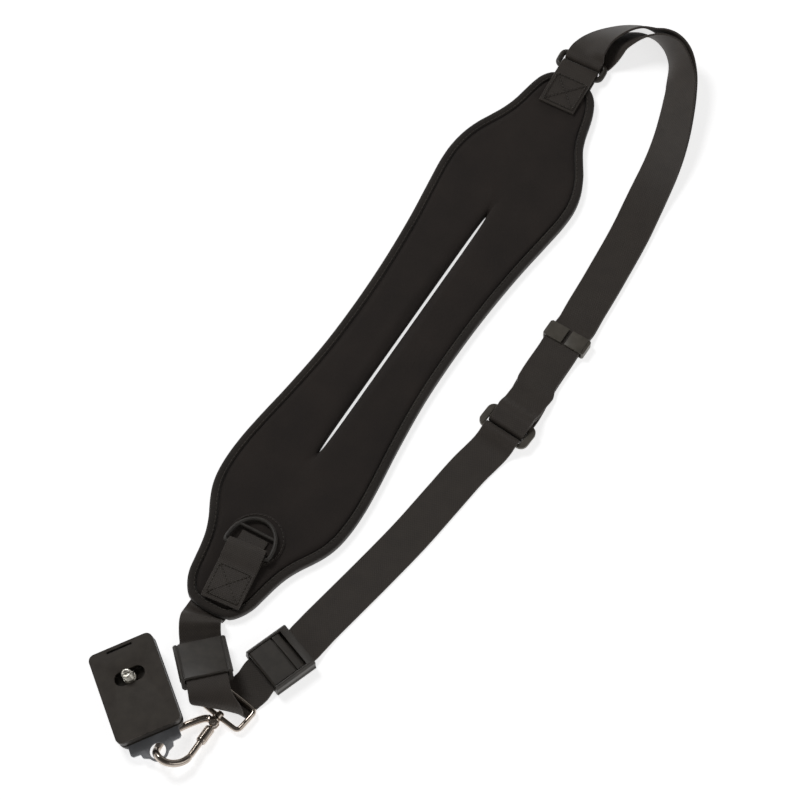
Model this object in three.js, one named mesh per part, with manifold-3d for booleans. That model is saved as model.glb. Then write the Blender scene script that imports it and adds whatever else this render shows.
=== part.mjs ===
// Camera neck strap of the sling kind, lying on a table. A long padded shoulder piece and a loop of
// 25 mm webbing, with a rectangular loop, a keeper, a slider and two cam-lever stoppers on it. The
// webbing folds through a rectangular ring that carries a swivel snap hook with a locking sleeve,
// and the hook holds the lug of a quick-release plate with a tripod screw.
//
// Millimetres, +Z up. The origin is at the middle of the footprint, on the table.

import * as THREE from 'three';
import { mergeVertices } from 'three/addons/utils/BufferGeometryUtils.js';
import Module from 'manifold-3d';

const wasm = await Module();
wasm.setup();

// Driving dimensions
const GAP = 0.3;               // between pieces that touch
const WEBBING = 25;            // width of the webbing
const PLY = 1.5;               // thickness of the webbing
const ON_TABLE = PLY / 2;      // height of the middle of webbing that lies flat
const NEXT_PLY = PLY + GAP;    // from one layer of webbing to the next

const PAD_MIDDLE = { x: 2.8, y: 46.7 };
const PAD_HEADING = 57.9;      // degrees from +X, towards the upper end
const PAD_THICK = 5.6;
const BINDING_THICK = 6;
const BINDING_WIDE = 5.5;
const SLIT = { long: 196.7, wide: 1.8 };
const PAD_EDGE_STEPS = 110;
const SEWN_RECESS = 2.4;       // hollow under each end of the pad, for the webbing sewn there

const TOP_LOOP = { x: 118, y: 240.5, z: 3.9, heading: 62 };
const TOP_LOOP_SIZE = { wide: 34, bar: 3.8, barPitch: 10.6 };
const LOWER_TAB = { x: -92.5, y: -105.4, z: 9.9, heading: 65.7 };
const D_RING = { ...LOWER_TAB, heading: 61 };
const D_RING_SIZE = { wide: 29.8, side: 4, tall: 22.4, bar: 2.6, crossbarAt: 13.9, tilt: 3.5 };
const PATCH = { x: -86.9, y: -97.4, radius: 18, z: 5.9, thick: 0.6 };

const KEEPER = { x: 103.8, y: 40.6, z: 0, heading: 57.3 };
const KEEPER_SIZE = { wide: 29.2, long: 11, tall: 6.6, wall: 1.3, split: 3 };
const SLIDER = { x: 65.9, y: -20.5, z: 4.8, heading: 54 };
const SLIDER_SIZE = { wide: 35, long: 17, thick: 2.4, sideBar: 2.6, corner: 5, window: 26.2 };

const STOPPER_A = { x: -70.5, y: -174, z: 0, heading: 218 };
const STOPPER_B = { x: -116.3, y: -176.4, z: 15, heading: 103, pitch: -22 };
const STOPPER_SIZE = { wide: 32, long: 28.4, tall: 10, rail: 2.9, floor: 2 };
const STRAP_IN_STOPPER = 3.1;  // height of the middle of the webbing over the stopper's underside
const CAM_AXLE = { along: -6.6, up: 8.2, radius: 0.9 };

const RING = { x: -101.4, y: -202.9, z: 3.45, heading: -39.6 };
const RING_SIZE = { long: 29.3, wide: 16, wire: 3.2, corner: 2.6, boss: 6 };
const HOOK_HEADING = RING.heading - 90;
const HOOK_WIRE = 4.5;
const GATE_WIRE = 3.9;
const GATE_HINGE = { along: 5.9, across: -1.1, up: 4 };
const GATE_TIP = { along: 30.1, across: -4.4, up: 6.6 };
const SLEEVE = { from: 3.1, long: 11, outer: 6.2, inner: 4.5 };

const PLATE = { x: -153.3, y: -195.6, z: 4.3, heading: 20, roll: 12 };
const PLATE_SIZE = {
  wide: 40.6, long: 58.6, tall: 11.6, rubber: 1.1, corner: 4, undercut: 2.9, undercutTall: 4.2,
};
const SCREW_SLOT = { at: 8, long: 19, wide: 8.9 };
// The opening in the plate under the rubber face, and the pocket under that, which stops the carriage
const DECK_SLOT = { long: 21, wide: 9.8, corner: 1.5 };
const POCKET = { long: 31, wide: 14, top: 8 };
const CARRIAGE = { long: 22, wide: 13, low: 5.4, high: 7.6, boss: 8.2, top: 11.5 };
const SCREW = { shaft: 6.35, top: 18.6, head: 11, at: -0.6 };
const LUG = { middle: -0.3, half: 16, low: 2.6, thick: 1.8, holeAt: -38.7, hole: 10, ear: 6.5 };

// The middle of the footprint in the layout above
const FOOTPRINT_MIDDLE = { x: 4.17, y: 15.59 };

const finish = (color, roughness, metalness = 0) =>
  new THREE.MeshStandardMaterial({ color, roughness, metalness });
const neoprene = finish('#26211e', 0.9);
const binding = finish('#2b2623', 0.8);
const webbing = finish('#322e2a', 0.75);
const plastic = finish('#3a3631', 0.45);
const paintedMetal = finish('#35312d', 0.5, 0.2);
const rubber = finish('#332f2b', 0.7);
const nickel = finish('#d8cfc4', 0.18, 1);
const greySteel = finish('#5a5c60', 0.4, 0.6);

const rad = THREE.MathUtils.degToRad;
const vec = (x, y, z) => new THREE.Vector3(x, y, z);
const heading = (degrees) => vec(Math.cos(rad(degrees)), Math.sin(rad(degrees)), 0);
const UP = vec(0, 0, 1);

// Solid helpers

function toSolid(geometry) {
  const bare = geometry.clone();
  bare.deleteAttribute('normal');
  bare.deleteAttribute('uv');
  const merged = mergeVertices(bare, 1e-4);
  const vertProperties = new Float32Array(merged.attributes.position.array);
  const triVerts = new Uint32Array(merged.index.array);
  return new wasm.Manifold(new wasm.Mesh({ numProp: 3, vertProperties, triVerts }));
}

function toGeometry(solid) {
  const mesh = solid.getMesh();
  const geometry = new THREE.BufferGeometry();
  geometry.setAttribute('position', new THREE.BufferAttribute(new Float32Array(mesh.vertProperties), 3));
  geometry.setIndex(new THREE.BufferAttribute(new Uint32Array(mesh.triVerts), 1));
  geometry.computeVertexNormals();
  return geometry;
}

function join(...geometries) {
  return toGeometry(geometries.map(toSolid).reduce((sum, next) => sum.add(next)));
}

function cut(geometry, ...tools) {
  return toGeometry(tools.map(toSolid).reduce((rest, tool) => rest.subtract(tool), toSolid(geometry)));
}

// A closed body through sections that hold the same number of points each
function sweep(sections, closed = false) {
  const count = sections[0].length;
  const positions = sections.flat().flatMap((p) => [p.x, p.y, p.z]);
  const index = [];
  const spans = closed ? sections.length : sections.length - 1;
  for (let s = 0; s < spans; s += 1) {
    const here = s * count;
    const next = ((s + 1) % sections.length) * count;
    for (let i = 0; i < count; i += 1) {
      const j = (i + 1) % count;
      index.push(here + i, here + j, next + j, here + i, next + j, next + i);
    }
  }
  if (!closed) {
    const last = (sections.length - 1) * count;
    for (let i = 1; i < count - 1; i += 1) {
      index.push(0, i + 1, i, last, last + i, last + i + 1);
    }
  }
  const geometry = new THREE.BufferGeometry();
  geometry.setAttribute('position', new THREE.Float32BufferAttribute(positions, 3));
  geometry.setIndex(index);
  if (volumeOf(geometry) < 0) {
    index.reverse();
    geometry.setIndex(index);
  }
  geometry.computeVertexNormals();
  return geometry;
}

function volumeOf(geometry) {
  const { index, attributes } = geometry;
  const corner = (n) => vec(0, 0, 0).fromBufferAttribute(attributes.position, index.getX(n));
  let volume = 0;
  for (let n = 0; n < geometry.index.count; n += 3) {
    volume += corner(n).dot(corner(n + 1).cross(corner(n + 2))) / 6;
  }
  return volume;
}

function box(long, wide, tall, x = 0, y = 0, z = 0) {
  return new THREE.BoxGeometry(long, wide, tall).translate(x, y, z);
}

// A cylinder between two points
function rod(radius, from, to, sides = 16) {
  const span = to.clone().sub(from);
  const geometry = new THREE.CylinderGeometry(radius, radius, span.length(), sides);
  const turn = new THREE.Quaternion().setFromUnitVectors(vec(0, 1, 0), span.clone().normalize());
  geometry.applyQuaternion(turn);
  return geometry.translate(...from.clone().add(to).divideScalar(2).toArray());
}

function wire(points, diameter, { closed = false, sides = 10, steps = 40 } = {}) {
  const path = new THREE.CatmullRomCurve3(points, closed, 'centripetal');
  const frames = path.computeFrenetFrames(steps, closed);
  const sections = [];
  for (let s = 0; s < (closed ? steps : steps + 1); s += 1) {
    const middle = path.getPointAt(s / steps);
    const ring = [];
    for (let i = 0; i < sides; i += 1) {
      const angle = (2 * Math.PI * i) / sides;
      const out = frames.normals[s].clone().multiplyScalar(Math.cos(angle));
      out.addScaledVector(frames.binormals[s], Math.sin(angle));
      ring.push(middle.clone().addScaledVector(out, diameter / 2));
    }
    sections.push(ring);
  }
  return sweep(sections, closed);
}

// Points round a rectangle with round corners, in the plane z = 0
function roundedLoop(long, wide, corner, stepsPerCorner = 4) {
  const points = [];
  const corners = [[1, 1, 0], [-1, 1, 90], [-1, -1, 180], [1, -1, 270]];
  for (const [sx, sy, start] of corners) {
    for (let i = 0; i <= stepsPerCorner; i += 1) {
      const angle = rad(start + (90 * i) / stepsPerCorner);
      const x = sx * (long / 2 - corner) + corner * Math.cos(angle);
      const y = sy * (wide / 2 - corner) + corner * Math.sin(angle);
      points.push(vec(x, y, 0));
    }
  }
  return points.filter((point, n) => point.distanceTo(points.at(n - 1)) > 0.01);
}

function roundedShape(long, wide, corner, x = 0, y = 0) {
  const outline = roundedLoop(long, wide, corner).map((p) => new THREE.Vector2(p.x + x, p.y + y));
  return new THREE.Shape(outline);
}

function slab(shape, low, high, bevel = 0) {
  const options = { depth: high - low - 2 * bevel, curveSegments: 8, bevelEnabled: bevel > 0 };
  if (bevel > 0) {
    const edge = { bevelThickness: bevel, bevelSize: bevel, bevelOffset: -bevel, bevelSegments: 1 };
    Object.assign(options, edge);
  }
  return new THREE.ExtrudeGeometry(shape, options).translate(0, 0, low + bevel);
}

// A fitting's own frame: x along the strap, y across it, z up
function frameOf({ x, y, z = 0, heading: degrees, pitch = 0, roll = 0, flipped = false }) {
  const turn = new THREE.Matrix4().makeRotationZ(rad(degrees));
  turn.multiply(new THREE.Matrix4().makeRotationY(rad(-pitch - roll)));
  if (flipped) {
    turn.multiply(new THREE.Matrix4().makeRotationX(Math.PI));
  }
  return turn.setPosition(x, y, z);
}

const layout = new THREE.Group();
layout.position.set(-FOOTPRINT_MIDDLE.x, -FOOTPRINT_MIDDLE.y, 0);

function place(name, geometry, material, frame = new THREE.Matrix4()) {
  const mesh = new THREE.Mesh(geometry, material);
  mesh.name = name;
  frame.decompose(mesh.position, mesh.quaternion, mesh.scale);
  layout.add(mesh);
}

// Webbing: a flat band through stations, each with a middle and the direction across the band

function band(stations, wide, perSpan = 2) {
  const middles = new THREE.CatmullRomCurve3(stations.map((s) => s.middle), false, 'centripetal');
  const steps = (stations.length - 1) * perSpan;
  const sections = [];
  for (let n = 0; n <= steps; n += 1) {
    const at = n / steps;
    const middle = middles.getPoint(at);
    const along = middles.getTangent(at);
    const span = Math.min(Math.floor(n / perSpan), stations.length - 2);
    const share = n / perSpan - span;
    const across = stations[span].across.clone().lerp(stations[span + 1].across, share).normalize();
    const face = along.clone().cross(across);
    const half = wide / 2 / Math.max(face.length(), 0.7);
    face.normalize().multiplyScalar(PLY / 2);
    const corner = (side, level) => (
      middle.clone().addScaledVector(across, side * half).addScaledVector(face, level)
    );
    sections.push([corner(-1, -1), corner(0, -1), corner(1, -1), corner(1, 1), corner(0, 1), corner(-1, 1)]);
  }
  return sweep(sections);
}

// Stations in a fitting's frame, given as distances along and heights
function stationsAt(fitting, rows) {
  const frame = frameOf({ ...fitting, z: 0, pitch: 0 });
  const across = heading(fitting.heading - 90);
  return rows.map(({ along, up }) => (
    { middle: vec(along, 0, up).applyMatrix4(frame), across: across.clone() }
  ));
}

// A half turn round a bar at the given place, from angle to angle in the plane along and up
function roundBar(fitting, along, up, radius, fromAngle, toAngle, steps = 6) {
  const rows = [];
  for (let n = 0; n <= steps; n += 1) {
    const angle = rad(fromAngle + ((toAngle - fromAngle) * n) / steps);
    rows.push({ along: along + radius * Math.cos(angle), up: up + radius * Math.sin(angle) });
  }
  return stationsAt(fitting, rows);
}

// Stations of a band that rolls about its own length: 0 has the second edge on the right of travel
function rolledStations(rows) {
  return rows.map((row, n) => {
    const before = rows[Math.max(n - 1, 0)];
    const after = rows[Math.min(n + 1, rows.length - 1)];
    const right = vec(after.x - before.x, after.y - before.y, 0).normalize().cross(UP);
    const across = right.multiplyScalar(Math.cos(rad(row.roll)));
    across.addScaledVector(UP, Math.sin(rad(row.roll)));
    return { middle: vec(row.x, row.y, row.z), across };
  });
}

// Stations that name the direction across the band
function headedStations(rows) {
  return rows.map(({ x, y, z, across }) => ({ middle: vec(x, y, z), across: heading(across) }));
}

// The same stations one layer further on the side that the band faces
function nextLayer(stations, distance = NEXT_PLY) {
  return stations.map(({ middle, across }, n) => {
    const before = stations[Math.max(n - 1, 0)].middle;
    const after = stations[Math.min(n + 1, stations.length - 1)].middle;
    const face = after.clone().sub(before).normalize().cross(across).normalize();
    return { middle: middle.clone().addScaledVector(face, distance), across: across.clone() };
  });
}

// Shoulder pad

// Half width of the pad at distances from its middle, and how far its middle line bows to the left
const PAD_OUTLINE = [
  { along: -222, half: 9, bow: 0 },
  { along: -219.5, half: 15, bow: 0 },
  { along: -214, half: 19.5, bow: 0 },
  { along: -207, half: 22.8, bow: 0 },
  { along: -198, half: 24.7, bow: 0 },
  { along: -189, half: 26.4, bow: 0 },
  { along: -180, half: 28.8, bow: 0 },
  { along: -171, half: 32.7, bow: 0 },
  { along: -162, half: 37.8, bow: 0 },
  { along: -153, half: 42, bow: 0 },
  { along: -144, half: 44.4, bow: 0 },
  { along: -132, half: 45.6, bow: 0 },
  { along: -117, half: 45.4, bow: 0 },
  { along: -99, half: 43.7, bow: 0 },
  { along: -72, half: 40.3, bow: 0 },
  { along: -36, half: 37, bow: 0 },
  { along: 0, half: 36.2, bow: 0 },
  { along: 36, half: 37.3, bow: 0 },
  { along: 72, half: 40.2, bow: 0 },
  { along: 99, half: 43.6, bow: 0 },
  { along: 117, half: 45.7, bow: 0 },
  { along: 130, half: 45.8, bow: 0 },
  { along: 142, half: 43.7, bow: 0.3 },
  { along: 153, half: 39.6, bow: 0.8 },
  { along: 162, half: 34.7, bow: 1.4 },
  { along: 171, half: 30, bow: 2 },
  { along: 180, half: 26.8, bow: 2.3 },
  { along: 189, half: 24.8, bow: 2.6 },
  { along: 198, half: 22.6, bow: 3.1 },
  { along: 205, half: 19.8, bow: 3.6 },
  { along: 210.5, half: 15.2, bow: 4 },
  { along: 213.5, half: 9, bow: 4.2 },
];

function padEdge() {
  const left = PAD_OUTLINE.map((row) => vec(row.along, row.bow + row.half, 0));
  const right = PAD_OUTLINE.map((row) => vec(row.along, row.bow - row.half, 0));
  const curve = new THREE.CatmullRomCurve3([...right, ...left.reverse()], true, 'centripetal');
  return curve.getSpacedPoints(PAD_EDGE_STEPS).slice(0, -1);
}

// The outline moved in by a distance, as a shape
function insetOutline(edge, distance) {
  const count = edge.length;
  const moved = edge.map((point, n) => {
    const along = edge[(n + 1) % count].clone().sub(edge[(n + count - 1) % count]).normalize();
    const inward = vec(-along.y, along.x, 0);
    return new THREE.Vector2(point.x + inward.x * distance, point.y + inward.y * distance);
  });
  return moved;
}

function padParts() {
  const edge = padEdge();
  const frame = frameOf({ ...PAD_MIDDLE, heading: PAD_HEADING });
  const body = new THREE.Shape(insetOutline(edge, BINDING_WIDE + GAP));
  const slit = roundedLoop(SLIT.long, SLIT.wide, SLIT.wide / 2, 3);
  body.holes.push(new THREE.Path(slit.map((p) => new THREE.Vector2(p.x, p.y))));
  const rim = new THREE.Shape(insetOutline(edge, 0));
  rim.holes.push(new THREE.Path(insetOutline(edge, BINDING_WIDE)));
  const toPad = frame.clone().invert();
  const recesses = [
    recessUnder(TOP_LOOP, -50, 4),
    recessUnder({ ...PAD_MIDDLE, heading: PAD_HEADING }, -232, -174),
  ].map((tool) => tool.applyMatrix4(toPad));
  place('pad', cut(slab(body, 0, PAD_THICK), ...recesses), neoprene, frame);
  place('pad_binding', cut(slab(rim, 0, BINDING_THICK, 1), ...recesses), binding, frame);
}

function recessUnder(fitting, from, to) {
  const tool = box(to - from, WEBBING + 4 * GAP, 2 * SEWN_RECESS, (from + to) / 2, 0, 0);
  return tool.applyMatrix4(frameOf({ ...fitting, z: 0 }));
}

// The webbing's route

// Round the slider's middle bar: the sewn end below, then up and over the side bar
const SLIDER_BAR_RADIUS = 1.2;
const SLIDER_WRAP = SLIDER_BAR_RADIUS + GAP + ON_TABLE;
const STRAND_OUT = { ...SLIDER, heading: 58.5 };   // the strand leaves the slider a little askew

function sewnEndStations() {
  const hem = stationsAt(SLIDER, [
    { along: 7.2, up: 7.25 },
    { along: 4.6, up: 6.2 },
    { along: 2.6, up: 3.6 },
  ]);
  const hemEnd = stationsAt(STRAND_OUT, [
    { along: 22, up: 2.6 },
    { along: 15, up: 3.3 },
    { along: 10, up: 6.7 },
  ]);
  const wrap = roundBar(SLIDER, 0, SLIDER.z, SLIDER_WRAP, -90, -270);
  const over = stationsAt(SLIDER, [
    { along: 3.4, up: 8.1 },
    { along: 7.2, up: 9.15 },
  ]);
  const strandOut = stationsAt(STRAND_OUT, [
    { along: 11, up: 8.5 },
    { along: 17, up: 5.1 },
    { along: 24, up: 4.2 },
    { along: 30, up: 2.8 },
  ]);
  return [...hemEnd, ...hem, ...wrap, ...over, ...strandOut];
}

// The double strand between the slider and the top loop, lower layer, from the keeper upwards
const STRAND_ROWS = [
  { x: 85.2, y: 11.7, z: 0.85, across: -31.5 },
  { x: 97, y: 30.7, z: 1, across: -32 },
  { x: 100.3, y: 35.7, z: 2.3, across: -32.5 },
  { x: 107.1, y: 45.7, z: 2.3, across: -32.7 },
  { x: 110.3, y: 50.7, z: 1, across: -32.5 },
  { x: 115.9, y: 61.3, z: 0.75, across: -30 },
  { x: 125.3, y: 78.1, z: 0.75, across: -28.8 },
  { x: 132.8, y: 92.1, z: 0.75, across: -27.8 },
  { x: 140.2, y: 106, z: 0.75, across: -27 },
];

// The lower layer through the top loop, from the bar of the rectangular loop to the strand
const OUTER_LOOP = [
  { x: 124, y: 251.4, z: 8.2, roll: 18 },
  { x: 131, y: 258.5, z: 9.2, roll: 34 },
  { x: 140, y: 263.1, z: 9.7, roll: 44 },
  { x: 150.3, y: 265.8, z: 10.6, roll: 52 },
  { x: 159.9, y: 265.4, z: 11.3, roll: 57 },
  { x: 168.3, y: 260.6, z: 12.4, roll: 66 },
  { x: 173.6, y: 256.6, z: 13.2, roll: 79 },
  { x: 178, y: 251.2, z: 13.4, roll: 94 },
  { x: 181, y: 245, z: 12.9, roll: 107 },
  { x: 182.5, y: 237.9, z: 11.7, roll: 120 },
  { x: 182.5, y: 224.8, z: 9.8, roll: 134 },
  { x: 180.8, y: 212, z: 8.7, roll: 141 },
  { x: 178.2, y: 199.2, z: 7.5, roll: 147 },
  { x: 175, y: 186.3, z: 6.6, roll: 153 },
  { x: 170.9, y: 173.4, z: 5.2, roll: 160 },
  { x: 165.8, y: 160.5, z: 3.8, roll: 167 },
  { x: 159.8, y: 147.5, z: 2.3, roll: 174 },
  { x: 153.4, y: 133.7, z: 1.15, roll: 179 },
  { x: 146.8, y: 119.2, z: 0.75, roll: 180 },
];

// The upper layer where it stands away from the lower one, in the same direction
const INNER_LOOP = [
  { x: 123.4, y: 247.7, z: 0.9, roll: 0 },
  { x: 126.6, y: 250.4, z: 1.25, roll: 1.5 },
  { x: 131, y: 252.8, z: 3.2, roll: 11 },
  { x: 136.6, y: 254.6, z: 5.6, roll: 23 },
  { x: 143.2, y: 256.6, z: 7.9, roll: 34 },
  { x: 150.4, y: 258.6, z: 9.6, roll: 43 },
  { x: 157.6, y: 259.4, z: 10.6, roll: 51 },
  { x: 164.6, y: 257.6, z: 11.6, roll: 62 },
  { x: 170.4, y: 253.8, z: 12.8, roll: 77 },
  { x: 175.2, y: 248.8, z: 13.2, roll: 93 },
  { x: 178.6, y: 242.6, z: 13, roll: 108 },
];
const INNER_LOOP_JOINS = 10;   // row of the outer loop from which the two layers lie together

// Through the slider: under its middle bar and up over its lower side bar
const SLIDER_PASS = [
  { along: 14, up: 0.8 },
  { along: 5, up: 0.8 },
  { along: -0.5, up: 0.9 },
  { along: -3, up: 1.7 },
  { along: -4.3, up: 4 },
  { along: -5.2, up: 6.6 },
  { along: -7.2, up: 7.3 },
  { along: -9.8, up: 6.3 },
];

// The long single run down to the first stopper
const LONG_RUN = [
  { x: 57.8, y: -31, z: 3.3, across: -37.5 },
  { x: 54.4, y: -34.6, z: 1.3, across: -39 },
  { x: 49.6, y: -39.6, z: 0.75, across: -40 },
  { x: 42, y: -47.7, z: 0.75, across: -40.5 },
  { x: 24.8, y: -68.9, z: 0.75, across: -39 },
  { x: 6.2, y: -91.8, z: 0.75, across: -39.5 },
  { x: -14.6, y: -115.2, z: 0.75, across: -42 },
  { x: -33.8, y: -136.1, z: 0.8, across: -44 },
  { x: -47.5, y: -151, z: 0.9, across: -47.5 },
  { x: -53.8, y: -158.6, z: 1.7, across: -51 },
];

// From the first stopper under the ring's far bar, up through the ring and over into the second one
const RING_FOLD = [
  { x: -87.4, y: -190, z: 1.4, across: -51 },
  { x: -92.6, y: -194.8, z: 0.9, across: -48 },
  { x: -97, y: -198.9, z: 0.85, across: -43 },
  { x: -100.3, y: -201.9, z: 1.8, across: -37 },
  { x: -102.2, y: -203.3, z: 5, across: -26 },
  { x: -104.9, y: -205.3, z: 9.5, across: -15 },
  { x: -108, y: -204.8, z: 14.2, across: -5 },
  { x: -110.9, y: -200.8, z: 17.2, across: 6 },
];

// From the second stopper over a bow to the underside of the pad
const LOWER_BOW = [
  { x: -118.4, y: -162.6, z: 5, across: 9 },
  { x: -118.8, y: -157, z: 6.6, across: 6 },
  { x: -118.7, y: -151.9, z: 9.1, across: -2 },
  { x: -118.2, y: -148.5, z: 8.2, across: -10 },
  { x: -117.5, y: -145.9, z: 4.4, across: -18 },
  { x: -116.3, y: -143, z: 1.1, across: -26 },
  { x: -114, y: -139.3, z: 0.75, across: -31 },
  { x: -108, y: -129.8, z: 0.75, across: -32.1 },
  { x: -99, y: -115.4, z: 0.75, across: -32.1 },
];

function stopperStations(stopper, flipped) {
  const frame = frameOf({ ...stopper, flipped });
  const across = vec(0, 1, 0).transformDirection(frame);
  return [-14.2, -5, 5, 14.2].map((along) => ({
    middle: vec(along, 0, STRAP_IN_STOPPER).applyMatrix4(frame),
    across: across.clone(),
  }));
}

function webbingRoute() {
  const strand = headedStations(STRAND_ROWS);
  const outer = rolledStations(OUTER_LOOP);
  const inner = rolledStations(INNER_LOOP);
  const backDown = [...strand].reverse();
  const together = outer.slice(INNER_LOOP_JOINS);
  const upper = nextLayer([...together, ...backDown]).reverse();
  const bar = { along: TOP_LOOP_SIZE.barPitch / 2, wrap: TOP_LOOP_SIZE.bar / 2 + GAP + ON_TABLE };
  return [
    ...sewnEndStations(),
    ...upper,
    ...inner.reverse(),
    ...roundBar(TOP_LOOP, bar.along, TOP_LOOP.z, bar.wrap, -90, -270),
    ...outer,
    ...backDown,
    ...stationsAt(SLIDER, SLIDER_PASS),
    ...headedStations(LONG_RUN),
    ...stopperStations(STOPPER_A, false),
    ...headedStations(RING_FOLD),
    ...stopperStations(STOPPER_B, true),
    ...headedStations(LOWER_BOW),
  ];
}

// Short webbing tabs that hold the rectangular loop and the D-ring

function topTab() {
  const bar = { along: -TOP_LOOP_SIZE.barPitch / 2, wrap: TOP_LOOP_SIZE.bar / 2 + GAP + ON_TABLE };
  const above = stationsAt(TOP_LOOP, [
    { along: -37.5, up: BINDING_THICK + NEXT_PLY / 2 + 0.2 },
    { along: -24, up: BINDING_THICK + NEXT_PLY / 2 + 0.2 },
    { along: -11, up: BINDING_THICK + NEXT_PLY / 2 + 0.2 },
  ]);
  const below = stationsAt(TOP_LOOP, [
    { along: -9, up: ON_TABLE + 0.1 },
    { along: -18, up: ON_TABLE + 0.1 },
    { along: -30, up: ON_TABLE + 0.1 },
  ]);
  return band([...above, ...roundBar(TOP_LOOP, bar.along, TOP_LOOP.z, bar.wrap, 90, -90), ...below], WEBBING);
}

function lowerTab() {
  const wrap = D_RING_SIZE.bar / 2 + GAP + ON_TABLE;
  const low = LOWER_TAB.z - wrap;
  const roomForSkew = 1.2;
  const below = stationsAt(LOWER_TAB, [
    { along: -35, up: low - 0.2 },
    { along: -20, up: low - 0.2 },
    { along: -6, up: low },
  ]);
  const above = stationsAt(LOWER_TAB, [
    { along: -6, up: low + 3.4 },
    { along: -12, up: low + 1.9 },
    { along: -24, up: low + 1.7 },
    { along: -36, up: low + 1.7 },
  ]);
  return band([...below, ...roundBar(LOWER_TAB, roomForSkew, LOWER_TAB.z, wrap, -90, 90), ...above], WEBBING);
}

// Plastic fittings on the strap

function topLoopGeometry() {
  const { wide, bar, barPitch } = TOP_LOOP_SIZE;
  return wire(roundedLoop(barPitch, wide - bar, 3), bar, { closed: true, steps: 44 });
}

function keeperGeometry() {
  const { wide, long, tall, wall, split } = KEEPER_SIZE;
  const outer = slab(roundedShape(long, wide, 1.2), 0, tall, 0.6);
  const inside = box(long + 2, wide - 2 * wall, tall - 2 * wall, 0, 0, tall / 2);
  const gap = box(long + 2, split, 2 * wall, 0, 0.8, tall);
  return cut(outer, inside, gap);
}

function sliderGeometry() {
  const { wide, long, thick, sideBar, corner, window } = SLIDER_SIZE;
  const frame = slab(roundedShape(long, wide, corner), -thick / 2, thick / 2, 0.5);
  const opening = slab(roundedShape(long - 2 * sideBar, window, 0.8), -thick, thick);
  const middleBar = rod(SLIDER_BAR_RADIUS, vec(0, -window / 2 - 1, 0), vec(0, window / 2 + 1, 0), 12);
  return join(cut(frame, opening), middleBar);
}

// Cam-lever stopper: x points to the finger end of its lever

function stopperBody() {
  const { wide, long, tall, rail, floor } = STOPPER_SIZE;
  const half = wide / 2;
  const section = new THREE.Shape([
    [-half, 1], [-half + 1, 0], [half - 1, 0], [half, 1],
    [half, tall - 2], [half - 1.6, tall], [-half + 1.6, tall], [-half, tall - 2],
  ].map(([y, z]) => new THREE.Vector2(y, z)));
  const block = new THREE.ExtrudeGeometry(section, { depth: long, bevelEnabled: false });
  block.rotateX(Math.PI / 2).rotateZ(Math.PI / 2).translate(-long / 2, 0, 0);
  const inner = wide - 2 * rail;
  const strapWay = box(long + 2, inner, 3.2, 0, 0, floor + 1.6);
  const bridgeEdge = CAM_AXLE.along - 2.8;
  const pocketLong = long / 2 - bridgeEdge + 1;
  const pocket = box(pocketLong, inner, tall, bridgeEdge + pocketLong / 2, 0, floor + tall / 2);
  const holeReach = half - 1.2;
  const axleHole = rod(CAM_AXLE.radius + GAP, ...axleEnds(holeReach), 12);
  return cut(block, strapWay, pocket, axleHole);
}

function axleEnds(reach) {
  return [vec(CAM_AXLE.along, -reach, CAM_AXLE.up), vec(CAM_AXLE.along, reach, CAM_AXLE.up)];
}

function stopperLever() {
  const { along, up } = CAM_AXLE;
  const outline = [];
  for (let n = 0; n <= 4; n += 1) {
    const angle = rad(90 + 45 * n);
    outline.push([along + 1.5 * Math.cos(angle), up + 1.5 * Math.sin(angle)]);
  }
  outline.push([-6.1, 4.4], [-3.6, 4.3], [-1.1, 6.4], [0.4, 7.3]);
  outline.push([13, 7.3], [14.1, 8], [14.1, 8.9], [13, 9.7]);
  outline.push([-1.9, 9.7], [-1.9, 8.5], [-2.9, 8.5], [-2.9, 9.7]);
  const profile = new THREE.Shape(outline.map(([x, z]) => new THREE.Vector2(x, z)));
  const wide = STOPPER_SIZE.wide - 2 * STOPPER_SIZE.rail - 2 * GAP;
  const panel = new THREE.ExtrudeGeometry(profile, { depth: wide, bevelEnabled: false });
  panel.rotateX(Math.PI / 2).translate(0, wide / 2, 0);
  const axle = rod(CAM_AXLE.radius, ...axleEnds(wide / 2 + 1.4), 12);
  return join(panel, axle);
}

function stopper(name, placing, flipped) {
  const frame = frameOf({ ...placing, flipped });
  place(`${name}_body`, stopperBody(), plastic, frame);
  place(`${name}_lever`, stopperLever(), plastic, frame);
}

// D-ring and its round patch

function dRingGeometry() {
  const { wide, side, tall, bar, crossbarAt, tilt } = D_RING_SIZE;
  const half = wide / 2;
  const arcTall = tall - side;
  const points = [];
  for (let n = 0; n <= 12; n += 1) {
    const angle = rad(180 - 15 * n);
    points.push(vec(side + arcTall * Math.sin(angle), half * Math.cos(angle), 0));
  }
  points.push(vec(2.2, half, 0), vec(0.5, half - 0.5, 0), vec(0, half - 1.8, 0));
  points.push(vec(0, 0, 0), vec(0, -half + 1.8, 0), vec(0.5, -half + 0.5, 0), vec(2.2, -half, 0));
  const outline = wire(points, bar, { closed: true, steps: 48, sides: 8 });
  const reach = half * Math.sqrt(1 - ((crossbarAt - side) / arcTall) ** 2);
  const crossbar = rod(bar / 2 - 0.2, vec(crossbarAt, -reach, 0), vec(crossbarAt, reach, 0), 8);
  return join(outline, crossbar).rotateY(rad(tilt));
}

// Rectangular ring, with a drilled boss for the swivel in the middle of its near bar

function ringGeometry() {
  const { long, wide, wire: thick, corner, boss } = RING_SIZE;
  const loop = wire(roundedLoop(long, wide, corner), thick, { closed: true, steps: 48 });
  const near = -wide / 2;
  const bossBody = rod(boss / 2 - 0.4, vec(0, near - thick / 2, 0), vec(0, near + thick / 2, 0), 14);
  const bore = rod(1.6, vec(0, near - thick, 0), vec(0, near + thick, 0), 14);
  return cut(join(loop, bossBody), bore);
}

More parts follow.
